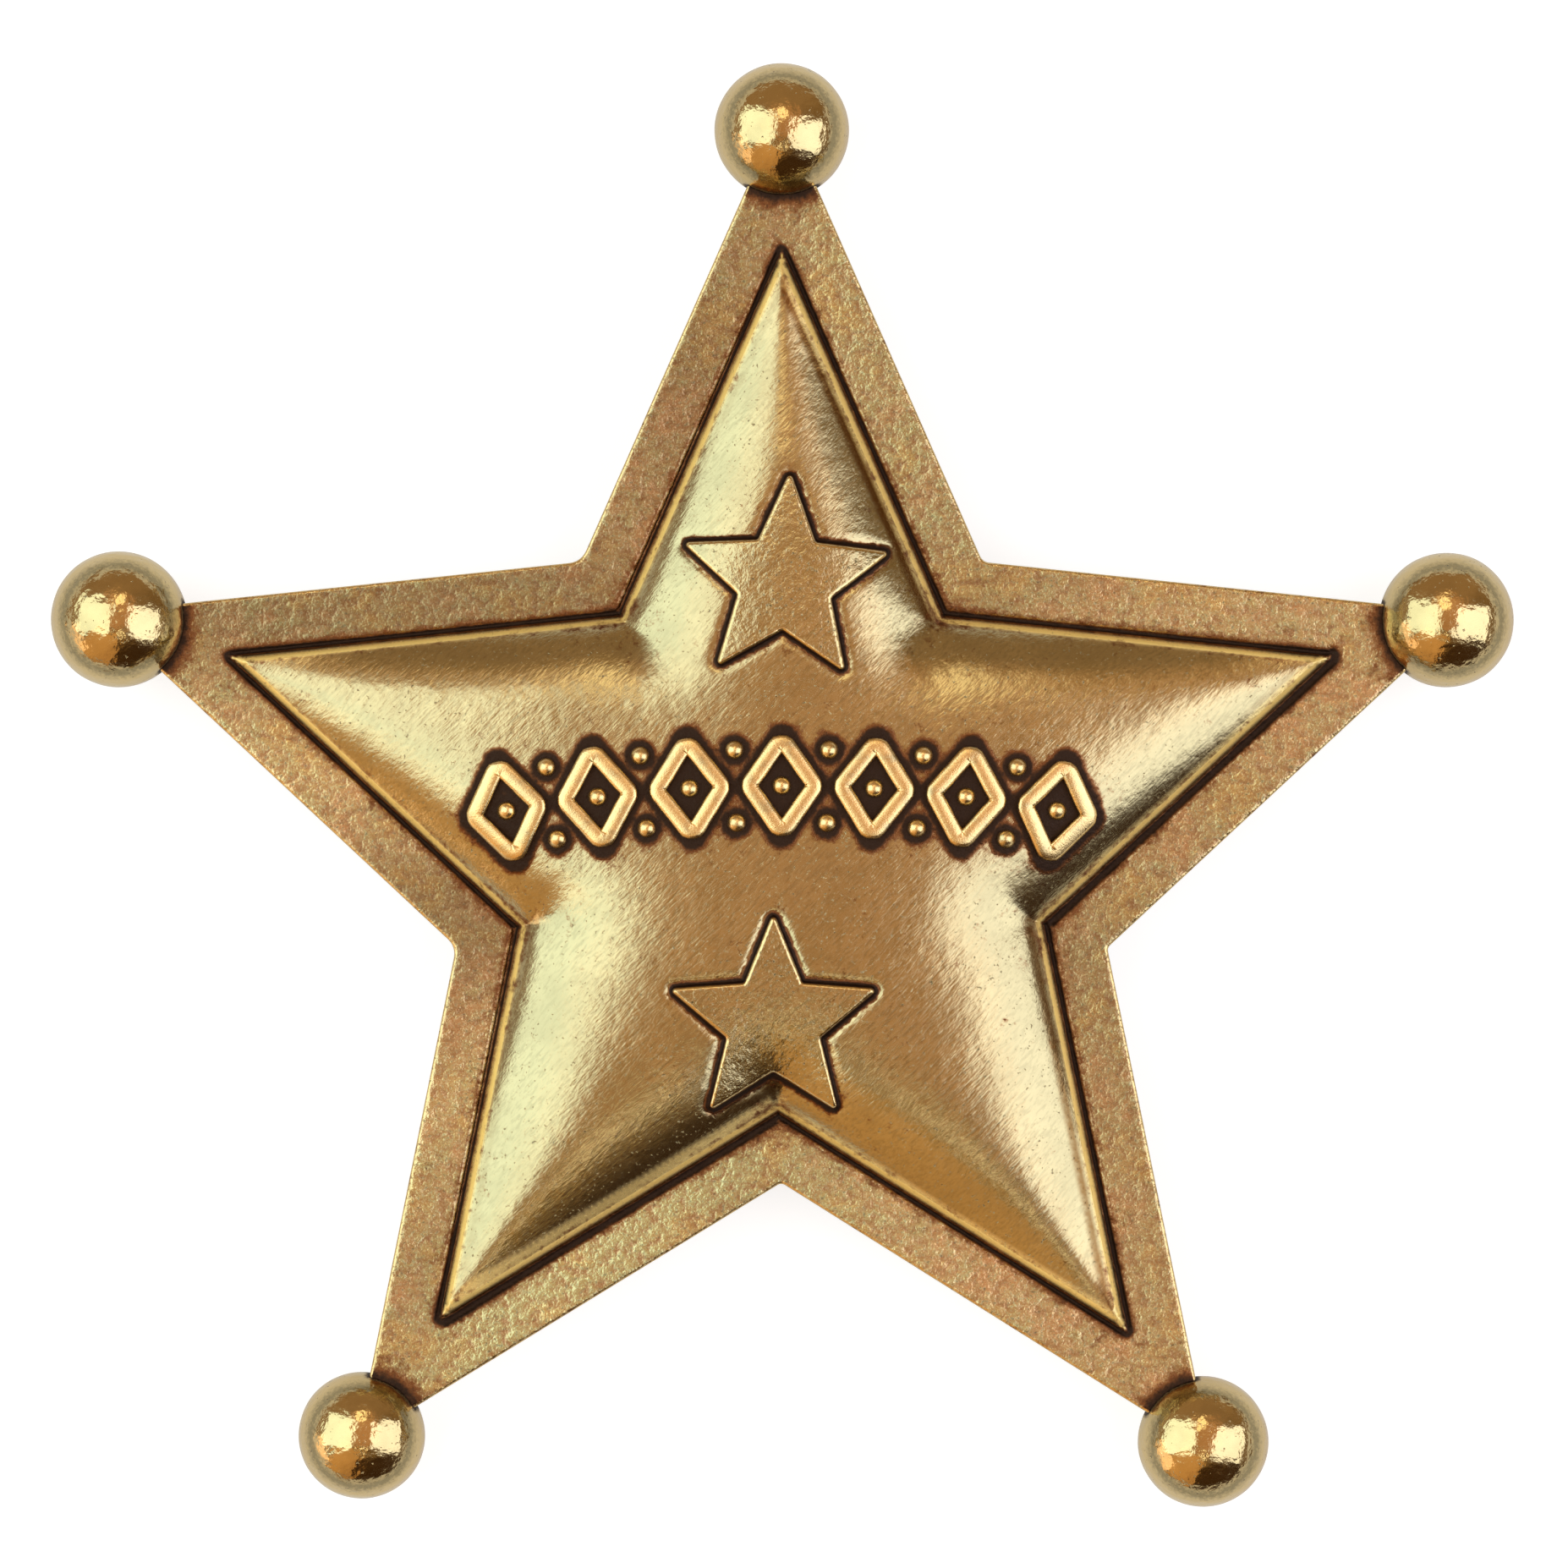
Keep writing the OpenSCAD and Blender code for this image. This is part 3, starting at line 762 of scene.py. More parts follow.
class Tree:
    """A tree of nodes, with short calls that add to it."""

    def __init__(self, tree):
        self.tree = tree
        tree.nodes.clear()

    def put(self, kind, given=None, **settings):
        """Adds a node, sets its settings, links or sets its inputs, and hands back its outputs."""
        node = self.tree.nodes.new(kind)
        for key, value in settings.items():
            setattr(node, key, value)
        for key, value in (given or {}).items():
            if isinstance(value, bpy.types.NodeSocket):
                self.tree.links.new(value, node.inputs[key])
            else:
                node.inputs[key].default_value = value
        return node.outputs

    def calc(self, operation, *terms, clamp=False):
        """A Math node's result."""
        return self.put("ShaderNodeMath", dict(enumerate(terms)), operation=operation, use_clamp=clamp)[0]

    def times(self, first, *others):
        """Values multiplied together."""
        for other in others:
            first = self.calc("MULTIPLY", first, other)
        return first

    def plus(self, start, value, factor, clamp=False):
        """A start with a value added to it a number of times."""
        return self.calc("MULTIPLY_ADD", value, factor, start, clamp=clamp)

    def rest(self, value):
        """What a value leaves of 1."""
        return self.calc("SUBTRACT", 1.0, value)

    def parts(self, vector):
        """A vector's three parts."""
        return self.put("ShaderNodeSeparateXYZ", {0: vector})

    def vector(self, **parts):
        """A vector from its parts."""
        return self.put("ShaderNodeCombineXYZ", {axis.upper(): part for axis, part in parts.items()})[0]

    def step(self, value, low, high, way="SMOOTHSTEP"):
        """0 at low, 1 at high, and smooth between, or another way."""
        given = {"Value": value, "From Min": low, "From Max": high}
        return self.put("ShaderNodeMapRange", given, interpolation_type=way)[0]

    def noise(self, size, detail=2.0, rough=0.5, place=None):
        """Noise whose patches are about `size` millimetres across."""
        given = {"Vector": place or self.place, "Scale": 1 / (size * MM), "Detail": detail}
        return self.put("ShaderNodeTexNoise", {**given, "Roughness": rough})[0]

    def blend(self, factor, first, second, way="MIX"):
        """A colour between two, or another blend of them."""
        first, second = (
            end if isinstance(end, bpy.types.NodeSocket) else (*end, 1) for end in (first, second)
        )
        given = {0: factor, 6: first, 7: second}
        return self.put("ShaderNodeMix", given, data_type="RGBA", blend_type=way)[2]

    def arrange(self):
        """Spreads the nodes out from left to right, by how many nodes come before each."""
        depth = {node.name: 0 for node in self.tree.nodes}
        for _ in self.tree.nodes:
            for link in self.tree.links:
                depth[link.to_node.name] = max(depth[link.to_node.name], depth[link.from_node.name] + 1)
        rows = {}
        for node in self.tree.nodes:
            column = depth[node.name]
            rows[column] = rows.get(column, 0) + 1
            node.location = (column * 220, -rows[column] * 190)


# The kind of a tree's input, from what it is given
SOCKET_KINDS = {
    int: "Int",
    float: "Float",
    tuple: "Vector",
    bpy.types.Object: "Object",
    bpy.types.Material: "Material",
}


class Shape(Tree):
    """A geometry tree with named inputs, and the modifier that runs it."""

    def __init__(self, name, **inputs):
        super().__init__(bpy.data.node_groups.new(name, "GeometryNodeTree"))
        self.tree.is_modifier = True
        face = self.tree.interface
        face.new_socket("Geometry", in_out="INPUT", socket_type="NodeSocketGeometry")
        face.new_socket("Geometry", in_out="OUTPUT", socket_type="NodeSocketGeometry")
        self.values = {}
        for key, value in inputs.items():
            label, kind = key.replace("_", " ").capitalize(), "NodeSocket" + SOCKET_KINDS[type(value)]
            self.values[face.new_socket(label, in_out="INPUT", socket_type=kind).identifier] = value
        self.given = self.put("NodeGroupInput")
        self.place = self.put("GeometryNodeInputPosition")[0]

    def field(self, name):
        """A stored attribute."""
        return self.put("GeometryNodeInputNamedAttribute", {"Name": name}, data_type="FLOAT")["Attribute"]

    def store(self, geometry, name, value):
        """Keeps a value on the points under a name."""
        given = {"Geometry": geometry, "Name": name, "Value": value}
        return self.put("GeometryNodeStoreNamedAttribute", given, data_type="FLOAT", domain="POINT")[0]

    def move(self, geometry, **where):
        """Points set at a Position or moved by an Offset."""
        return self.put("GeometryNodeSetPosition", {"Geometry": geometry, **where})[0]

    def run(self, geometry, obj):
        """Ends the tree, runs it on an object and leaves the result as its plain mesh."""
        real = self.put("GeometryNodeRealizeInstances", {"Geometry": geometry})[0]
        smooth = self.put("GeometryNodeSetShadeSmooth", {"Geometry": real})[0]
        coat = {"Geometry": smooth, "Material": self.given["Material"]}
        self.put("NodeGroupOutput", {"Geometry": self.put("GeometryNodeSetMaterial", coat)[0]})
        self.arrange()
        modifier = obj.modifiers.new(self.tree.name, "NODES")
        modifier.node_group = self.tree
        for identifier, value in self.values.items():
            modifier[identifier] = value
        seen = obj.evaluated_get(bpy.context.evaluated_depsgraph_get())
        mesh = bpy.data.meshes.new_from_object(seen)
        mesh.name = obj.name
        obj.modifiers.clear()
        obj.data = mesh


class Coat(Tree):
    """A material's tree, with the few patterns that the badge's metals share."""

    def __init__(self, name):
        self.material = bpy.data.materials.new(name)
        self.material.use_nodes = True
        super().__init__(self.material.node_tree)
        self.place = self.put("ShaderNodeTexCoord")["Object"]

    def field(self, name):
        """A value stored on the mesh."""
        return self.put("ShaderNodeAttribute", attribute_name=name)["Fac"]

    def swing(self, middle, noise, amount):
        """A value that noise swings about its middle."""
        return self.plus(middle, self.calc("SUBTRACT", noise, 0.5), amount)

    def stretched(self, degrees, factor, offset=0.0):
        """Places squeezed along one direction, for brush marks that run that way."""
        turn = {"Rotation": (0, 0, -math.radians(degrees)), "Location": (offset, 0, 0)}
        turned = self.put("ShaderNodeMapping", {"Vector": self.place, **turn})[0]
        return self.put("ShaderNodeMapping", {"Vector": turned, "Scale": (1 / factor, 1, 1)})[0]

    def span(self, value, low, high):
        """A 0 to 1 value spread from low to high."""
        return self.put("ShaderNodeMapRange", {"Value": value, "To Min": low, "To Max": high})[0]

    def bumps(self, *layers):
        """Bumps on top of each other, each with its depth in millimetres."""
        below = {}
        for height, depth in layers:
            given = {"Height": height, "Distance": depth * MM, "Strength": 1.0, **below}
            below = {"Normal": self.put("ShaderNodeBump", given)[0]}
        return below["Normal"]

    def done(self, **shader):
        """Links the shader and hands back the material."""
        given = {key.replace("_", " ").title(): value for key, value in shader.items()}
        self.put("ShaderNodeOutputMaterial", {"Surface": self.put("ShaderNodeBsdfPrincipled", given)[0]})
        self.arrange()
        return self.material


# Finishes


def shade(tint, factor):
    """A colour made lighter or darker."""
    return tuple(min(1, part * factor) for part in tint)


def casting_coat(finish):
    """Antique brass: brushed raised star, sandy rim, dark oxide in the recesses, edges rubbed bright;
    painted light and shade on the rim, painted shade on the first slope, round the notches and in the sand's
    low spots, and a painted reflection along the foot.
    """
    coat = Coat("antique_brass_casting")
    names = ("grime", "wear", "raised", "worked", "burnished", "tone", "green", "dirt")
    grime, wear, raised, worked, burnished, tone, green, dirt = (coat.field(name) for name in names)
    clouds = coat.noise(2.6, 3, 0.55)
    patches = coat.noise(0.9, 5, 0.62)
    specks = coat.noise(0.22, 3, 0.7)
    sand = coat.noise(0.50, 3, 0.6)
    dents = coat.noise(0.7, 1, 0.5)
    grain = coat.noise(0.16, 2, 0.6)
    brush = coat.noise(0.15, 2, 0.6, coat.stretched(47, 5))
    cross_brush = coat.noise(0.11, 2, 0.6, coat.stretched(33, 5, 3 * MM))
    brushed = coat.times(raised, worked)
    plain = coat.rest(brushed)
    fuzz = coat.swing(coat.swing(0.0, specks, 0.9), patches, 1.3)
    ruffled = coat.plus(grime, fuzz, coat.calc("SUBTRACT", 1.15, grime))
    red = coat.step(ruffled, 0.22, 0.62)
    dark = coat.step(ruffled, 0.46, 0.90)
    pits = coat.step(coat.plus(grain, plain, 0.05), 0.66, 0.75)
    rubbed = coat.times(coat.step(wear, 0.25, 0.9), coat.rest(dark))
    # Painted shade on the first slope above the foot, in dark brown
    foot_shaded = coat.step(coat.plus(dirt, fuzz, 0.3), 0.1, 1.0)
    mottles = coat.step(coat.plus(patches, green, 0.5), 0.45, 0.85)
    brass = coat.blend(coat.step(clouds, 0.35, 0.7), finish.brass, shade(finish.brass, 0.88))
    brass = coat.blend(coat.step(brush, 0.32, 0.56), shade(finish.brass, 0.82), brass)
    brass = coat.blend(foot_shaded, brass, finish.foot_shade_brown)
    bronze = coat.blend(coat.step(clouds, 0.36, 0.60), finish.copper, finish.bronze)
    bronze = coat.blend(mottles, bronze, finish.olive)
    bronze = coat.blend(coat.times(coat.step(clouds, 0.50, 0.70), 0.4), bronze, finish.ochre)
    # Darker brown in the sand bump's low spots: partly patina in the pits, partly painted shade of the
    # relief
    bronze = coat.blend(coat.step(sand, 0.30, 0.58), shade(finish.copper, 0.70), bronze)
    # Painted light and shade on the rim: its bronze made lighter in some directions and darker in others
    bronze = coat.blend(1.0, bronze, tone, way="MULTIPLY")
    metal = coat.blend(raised, bronze, brass)
    # Painted reflection along the foot, in bright gold; it is made rougher and mostly unmetallic below
    metal = coat.blend(burnished, metal, finish.foot_sheen_gold)
    metal = coat.blend(rubbed, metal, finish.worn)
    metal = coat.blend(coat.times(pits, 0.65), metal, shade(finish.bronze, 0.3))
    # Red tarnish and dark oxide of the patina; round the notches and along the foot's crease they are
    # painted shade
    metal = coat.blend(red, metal, finish.rust)
    metal = coat.blend(dark, metal, finish.oxide)
    smooth = coat.plus(coat.plus(0.27, raised, -0.06), burnished, 0.10)
    normal = coat.bumps(
        (coat.times(plain, sand), 0.076),
        (coat.times(plain, grain), 0.012),
        (coat.times(brushed, coat.plus(brush, cross_brush, 0.5)), 0.011),
        (coat.times(raised, grain), 0.006),
        (coat.times(raised, dents), 0.020),
        (coat.rest(pits), 0.012),
        (coat.times(dark, specks), 0.05),
    )
    return coat.done(
        base_color=metal,
        metallic=coat.plus(coat.plus(1.0, dark, -0.25), burnished, -0.72),
        roughness=coat.plus(coat.swing(smooth, grain, 0.14), dark, 0.28, clamp=True),
        normal=normal,
    )


def ball_coat(finish):
    """Polished brass with a few cast pits, dark where a ball meets its arm, and a painted reflection round
    its sides: a dark band, then a lighter, warmer tint lower down.
    """
    coat = Coat("polished_brass_balls")
    clouds = coat.noise(1.6, 3, 0.55)
    specks = coat.noise(0.2, 3, 0.7)
    grain = coat.noise(0.12, 2, 0.6)
    near = coat.calc("SUBTRACT", 1.0, coat.calc("DIVIDE", coat.field("seam"), 0.55 * MM), clamp=True)
    dark = coat.step(coat.swing(near, specks, 0.9), 0.35, 0.85)
    pits = coat.step(coat.noise(0.24, 2, 0.6), 0.69, 0.75)
    # Painted reflection round each ball, by how far its surface faces up: a dark band, then a lighter tint
    # below
    upward = coat.parts(coat.put("ShaderNodeNewGeometry")["Normal"])["Z"]
    ragged = coat.swing(upward, specks, 0.30)
    cast = coat.rest(coat.step(ragged, 0.60, 0.74))
    metal = coat.blend(coat.step(clouds, 0.35, 0.7), finish.ball_brass, shade(finish.ball_brass, 0.85))
    metal = coat.blend(cast, metal, finish.ball_side)
    metal = coat.blend(coat.times(cast, coat.step(ragged, 0.40, 0.72)), metal, shade(finish.bronze, 0.45))
    metal = coat.blend(coat.times(pits, 0.7), metal, shade(finish.bronze, 0.3))
    metal = coat.blend(dark, metal, finish.oxide)
    return coat.done(
        base_color=metal,
        metallic=coat.plus(1.0, dark, -0.25),
        roughness=coat.plus(coat.swing(0.16, grain, 0.12), dark, 0.35, clamp=True),
        normal=coat.bumps(
            (coat.noise(0.8, 1, 0.5), 0.055), (coat.noise(0.34, 2, 0.55), 0.030), (coat.rest(pits), 0.02)
        ),
    )


def row_coat(finish):
    """Relief of the arched row: rubbed bright on top, dark down its sides."""
    coat = Coat("antique_brass_row")
    patches = coat.noise(0.8, 4, 0.6)
    specks = coat.noise(0.16, 3, 0.7)
    grain = coat.noise(0.08, 2, 0.6)
    dark = coat.rest(coat.step(coat.swing(coat.field("crest"), specks, 0.45), 0.0, 0.20))
    metal = coat.blend(coat.step(patches, 0.45, 0.8), shade(finish.worn, 1.12), finish.brass)
    return coat.done(
        base_color=coat.blend(dark, metal, finish.oxide),
        metallic=coat.plus(1.0, dark, -0.25),
        roughness=coat.plus(coat.swing(0.28, grain, 0.16), dark, 0.25, clamp=True),
        normal=coat.bumps((grain, 0.010)),
    )


def pin_coat(finish):
    """Drawn and stamped brass, lightly tarnished."""
    coat = Coat("drawn_brass_pin")
    clouds = coat.noise(1.8, 4, 0.6)
    specks = coat.noise(0.2, 3, 0.7)
    drawn = coat.noise(0.09, 2, 0.5, coat.stretched(0, 12))
    tarnish = coat.step(coat.plus(clouds, specks, 0.4), 0.66, 0.92)
    metal = coat.blend(coat.step(drawn, 0.35, 0.65), finish.pin_brass, shade(finish.pin_brass, 0.84))
    return coat.done(
        base_color=coat.blend(coat.times(tarnish, 0.7), metal, shade(finish.bronze, 0.4)),
        metallic=1.0,
        roughness=coat.span(clouds, 0.2, 0.42),
        normal=coat.bumps((drawn, 0.008)),
    )


def floor_coat(stage):
    """Pale paper under the badge."""
    coat = Coat("pale_paper_floor")
    fibres = coat.noise(3, 4, 0.6)
    seen = coat.put("ShaderNodeLightPath")["Is Camera Ray"]
    return coat.done(
        base_color=coat.blend(fibres, stage.paper, stage.paper_light),
        roughness=0.9,
        emission_color=(1.0, 1.0, 1.0, 1.0),
        emission_strength=coat.span(seen, 0.34, 0.80),
        normal=coat.bumps((fibres, 0.01)),
    )


# Pieces


def finish_piece(obj, slot, *replaced):
    """Attaches a finished piece to the root body and hides the imported parts that it replaces."""
    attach(obj, "root")
    if replaced:
        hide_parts(*replaced)


def raise_star(obj, sizes, material):
    """Lifts the flat lay-out to the puffed star, with its relief and its soft lumps."""
    shape = Shape(
        "Raised star",
        height=sizes.puff_h - sizes.foot_h,
        run=sizes.puff_run,
        unevenness=sizes.unevenness,
        material=material,
    )
    given = shape.given
    runs = shape.calc("DIVIDE", shape.field("foot"), given["Run"])
    left = shape.calc("EXPONENT", shape.times(runs, -1.0))
    lift = shape.times(shape.rest(left), given["Height"], shape.field("gain"))
    sunk = shape.times(shape.noise(3.2), given["Unevenness"], shape.field("raised"))
    rise = shape.calc("SUBTRACT", shape.calc("ADD", lift, shape.field("relief")), sunk)
    shape.run(shape.move(given["Geometry"], Offset=shape.vector(z=rise)), obj)


class BADGE_OT_casting(bpy.types.Operator):
    """Makes the casting: flat rim, groove, puffed star with its two small stars, and hollow back"""

    bl_idname = "badge.casting"
    bl_label = "Star Casting"

    def execute(self, context):
        scene = context.scene
        sizes = scene.badge_star
        casting = new_object("star_casting", casting_mesh(sizes, scene.badge_row))
        raise_star(casting, sizes, casting_coat(scene.badge_finish))
        for name in HEIGHT_FIELDS:
            casting.data.attributes.remove(casting.data.attributes[name])
        finish_piece(casting, "antique_brass", "star_body")
        return {"FINISHED"}


def round_balls(obj, sizes, material):
    """A lumpy ball at each point, which keeps its distance to the casting at its own points."""
    shape = Shape(
        "Ball tips", lumps=sizes.ball_lumps, casting=bpy.data.objects["star_casting"], material=material
    )
    given = shape.given
    radius = shape.field("radius")
    ball = shape.put("GeometryNodeMeshIcoSphere", {"Radius": 1.0, "Subdivisions": 6})[0]
    scale = shape.vector(x=radius, y=radius, z=radius)
    lay = {"Points": given["Geometry"], "Instance": ball, "Scale": scale}
    placed = shape.put("GeometryNodeInstanceOnPoints", lay)[0]
    real = shape.put("GeometryNodeRealizeInstances", {"Geometry": placed})[0]
    sunk = shape.times(shape.noise(2.4, 1.5), given["Lumps"], -1.0)
    normal = shape.put("GeometryNodeInputNormal")[0]
    inward = shape.put("ShaderNodeVectorMath", {0: normal, "Scale": sunk}, operation="SCALE")[0]
    casting = shape.put("GeometryNodeObjectInfo", {"Object": given["Casting"]})["Geometry"]
    seam = shape.put("GeometryNodeProximity", {0: casting}, target_element="FACES")["Distance"]
    shape.run(shape.store(shape.move(real, Offset=inward), "seam", seam), obj)


class BADGE_OT_balls(bpy.types.Operator):
    """Makes the five balls on the arms' tips, each a little lumpy, as polished castings are"""

    bl_idname = "badge.balls"
    bl_label = "Ball Tips"

    def execute(self, context):
        scene = context.scene
        sizes = scene.badge_star
        centre = star_centre(sizes)
        places = [(*(at + centre), radius) for at, radius in balls(sizes)]
        radii = {"radius": [radius for _, radius in balls(sizes)]}
        tips = new_object("ball_tips", mesh_of("ball_tips", places, [], radii))
        round_balls(tips, sizes, ball_coat(scene.badge_finish))
        finish_piece(tips, "antique_brass")
        return {"FINISHED"}


def along_arch(shape, count, up):
    """A run of points along the arch, and how far each is turned."""
    given = shape.given
    half = shape.calc("DIVIDE", shape.calc("SUBTRACT", count, 1.0), 2.0)
    steps = shape.calc("SUBTRACT", shape.put("GeometryNodeInputIndex")[0], half)
    turn = shape.calc("DIVIDE", shape.times(steps, given["Pitch"]), given["Arch radius"])
    reach = shape.calc("ADD", given["Arch radius"], up)
    centre = shape.parts(given["Arch centre"])
    place = shape.vector(
        x=shape.plus(centre["X"], shape.calc("SINE", turn), reach),
        y=shape.plus(centre["Y"], shape.calc("COSINE", turn), reach),
    )
    run = shape.put("GeometryNodeMeshLine", {"Count": count})[0]
    return shape.move(run, Position=place), shape.vector(z=shape.times(turn, -1.0))


def open_lozenge(shape):
    """A lozenge of a raised line with softened corners."""
    given = shape.given
    line_w = given["Line width"]
    quarter = shape.times(shape.put("GeometryNodeInputIndex")[0], math.pi / 2)
    half_w, half_l = (
        shape.calc("DIVIDE", shape.plus(given[label], line_w, -off), 2.0)
        for label, off in (("Lozenge width", LINE_OFF_W), ("Lozenge height", LINE_OFF_L))
    )
    corner = shape.vector(
        x=shape.times(shape.calc("COSINE", quarter), half_w),
        y=shape.times(shape.calc("SINE", quarter), half_l),
    )
    curve = shape.put("GeometryNodeCurvePrimitiveQuadrilateral", mode="RECTANGLE")[0]
    soft = {0: shape.move(curve, Position=corner), "Radius": shape.times(line_w, CORNER_SHARE)}
    curve = shape.put("GeometryNodeFilletCurve", soft, mode="BEZIER")[0]
    curve = shape.put("GeometryNodeResampleCurve", {"Curve": curve, "Count": LINE_POINTS}, mode="COUNT")[0]
    ring = shape.put("GeometryNodeCurvePrimitiveCircle", {"Resolution": LINE_SIDES, "Radius": 1.0})[0]
    spot = shape.parts(shape.place)
    across, up = (
        shape.times(
            shape.calc("SIGN", spot[axis]),
            shape.calc("POWER", shape.calc("ABSOLUTE", spot[axis]), given["Boxiness"]),
            share,
        )
        for axis, share in (("X", shape.calc("DIVIDE", line_w, 2.0)), ("Y", given["Relief height"]))
    )
    section = shape.move(ring, Position=shape.vector(x=across, y=up))
    return shape.put("GeometryNodeCurveToMesh", {"Curve": curve, "Profile Curve": section})[0]


def lay_row(obj, sizes, row, material):
    """Open lozenges and pellets along an arch, set down on the casting's face."""
    x, y = star_centre(sizes).tolist()
    shape = Shape(
        "Arched row",
        lozenges=row.lozenges,
        lozenge_width=row.lozenge_w,
        lozenge_height=row.lozenge_l,
        line_width=row.line_w,
        relief_height=sizes.relief_h,
        boxiness=row.boxiness,
        pitch=row.lozenge_w + row.lozenge_gap,
        pellet_diameter=row.pellet_d,
        pellet_rise=row.pellet_rise * row.lozenge_l / 2,
        arch_radius=row.arch_r,
        arch_centre=(x, y + row.arch_y - row.arch_r, 0.0),
        casting=bpy.data.objects["star_casting"],
        material=material,
    )
    given = shape.given
    count, rise, relief_h = given["Lozenges"], given["Pellet rise"], given["Relief height"]
    lozenge = open_lozenge(shape)
    radius = shape.calc("DIVIDE", given["Pellet diameter"], 2.0)
    ball = shape.put("GeometryNodeMeshIcoSphere", {"Radius": 1.0, "Subdivisions": 4})[0]
    flatten = {"Geometry": ball, "Scale": shape.vector(x=radius, y=radius, z=relief_h)}
    pellet = shape.put("GeometryNodeTransform", flatten)[0]
    between = shape.calc("SUBTRACT", count, 1.0)
    whole = shape.put("GeometryNodeJoinGeometry")[0]
    for how_many, up, figure in (
        (count, 0.0, lozenge),
        (count, 0.0, pellet),
        (between, rise, pellet),
        (between, shape.times(rise, -1.0), pellet),
    ):
        points, turned = along_arch(shape, how_many, up)
        lay = {"Points": points, "Instance": figure, "Rotation": turned}
        shape.tree.links.new(shape.put("GeometryNodeInstanceOnPoints", lay)[0], whole.node.inputs[0])
    real = shape.put("GeometryNodeRealizeInstances", {"Geometry": whole})[0]
    spot = shape.parts(shape.place)
    crested = shape.store(real, "crest", shape.calc("DIVIDE", spot["Z"], relief_h))
    above = shape.vector(x=spot["X"], y=spot["Y"], z=ABOVE_ALL)
    casting = shape.put("GeometryNodeObjectInfo", {"Object": given["Casting"]})["Geometry"]
    ray = {"Source Position": above, "Ray Direction": (0, 0, -1), "Ray Length": 1.0}
    hit = shape.put("GeometryNodeRaycast", {"Target Geometry": casting, **ray})["Hit Position"]
    shape.run(shape.move(crested, Offset=shape.vector(z=shape.parts(hit)["Z"])), obj)


class BADGE_OT_row(bpy.types.Operator):
    """Makes the arched row of raised open lozenges and pellets across the face"""

    bl_idname = "badge.row"
    bl_label = "Arched Row"

    def execute(self, context):
        scene = context.scene
        row = new_object("arched_row", bpy.data.meshes.new("arched_row"))
        lay_row(row, scene.badge_star, scene.badge_row, row_coat(scene.badge_finish))
        finish_piece(row, "antique_brass")
        return {"FINISHED"}


X_AXIS, Y_AXIS, Z_AXIS = (1, 0, 0), (0, 1, 0), (0, 0, 1)
# Width of the pin's lugs as a share of its bar's
LUG_SHARE = 0.7


class BADGE_OT_pin(bpy.types.Operator):
    """Makes the two bosses in the hollow back and the brooch pin that sits on them"""

    bl_idname = "badge.pin"
    bl_label = "Brooch Pin"

    def execute(self, context):
        scene = context.scene
        sizes, pin = scene.badge_star, scene.badge_pin
        x, y = star_centre(sizes)
        y += pin.bar_y
        _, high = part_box("pin_back")
        bar_z = high.z - pin.bar_t
        bar = prism(slot_outline(pin.bar_l, pin.bar_w), (x, y, bar_z), Z_AXIS, pin.bar_t, X_AXIS, Y_AXIS)
        lug_x = pin.bar_l / 2 - pin.bar_w / 4 - pin.lug_t / 2
        lug_r = pin.bar_w * LUG_SHARE / 2
        lug_low = pin.wire_d / 2 - pin.wire_z
        lug_top = bar_z + pin.bar_t / 2 - pin.wire_z
        turns = np.linspace(-math.pi, 0, 17)
        lug = [(lug_r * math.cos(turn), max(lug_low, lug_r * math.sin(turn))) for turn in turns]
        lug += [(lug_r, lug_top), (-lug_r, lug_top)]
        starts = [(x + side * lug_x - pin.lug_t / 2, y, pin.wire_z) for side in (-1, 1)]
        lugs = [prism(lug, start, X_AXIS, pin.lug_t, Y_AXIS, Z_AXIS) for start in starts]
        wire_l, wire_r = lug_x * 2 + pin.lug_t / 2, pin.wire_d / 2
        taper = ((0, 1), (wire_l, 1), (wire_l + pin.wire_d, 0.62), (wire_l + pin.wire_d * 2, 0.25))
        taper = [(along, wire_r * share) for along, share in taper]
        wire = lathe(taper, (x - lug_x, y, pin.wire_z), X_AXIS, 24)
        brooch = new_object("brooch_pin", solid_from("brooch_pin", [bar, *lugs, wire], pin.edge_round))
        brooch.data.materials.append(pin_coat(scene.badge_finish))
        finish_piece(brooch, "pin_brass", "pin_back")
        post = [(0, pin.boss_d / 2), (pin.boss_l, pin.boss_d / 2)]
        starts = [(x + side * pin.boss_span / 2, y, high.z + pin.boss_gap) for side in (-1, 1)]
        bosses = [lathe(post, start, Z_AXIS, 32) for start in starts]
        seats = new_object("pin_bosses", solid_from("pin_bosses", bosses, pin.edge_round))
        seats.data.materials.append(bpy.data.materials["antique_brass_casting"])
        finish_piece(seats, "antique_brass")
        return {"FINISHED"}


# Stage


def softbox(name, turn, lean, across, along, glow, tint):
    """A soft lamp that faces the badge, seen in its reflections and not by the camera."""
    lamp = bpy.data.lights.new(name, "AREA")
    lamp.shape = "RECTANGLE"
    lamp.size = 2 * LAMP_DISTANCE * math.tan(math.radians(across / 2))
    lamp.size_y = 2 * LAMP_DISTANCE * math.tan(math.radians(along / 2))
    lamp.energy = glow * math.pi * lamp.size * lamp.size_y
    lamp.color = tint
    obj = new_object(name, lamp)
    turn, lean = math.radians(turn), math.radians(lean)
    away = Vector((math.sin(lean) * math.cos(turn), math.sin(lean) * math.sin(turn), math.cos(lean)))
    obj.location = away * LAMP_DISTANCE
    obj.rotation_euler = away.to_track_quat("Z", "Y").to_euler()
    obj.visible_camera = False


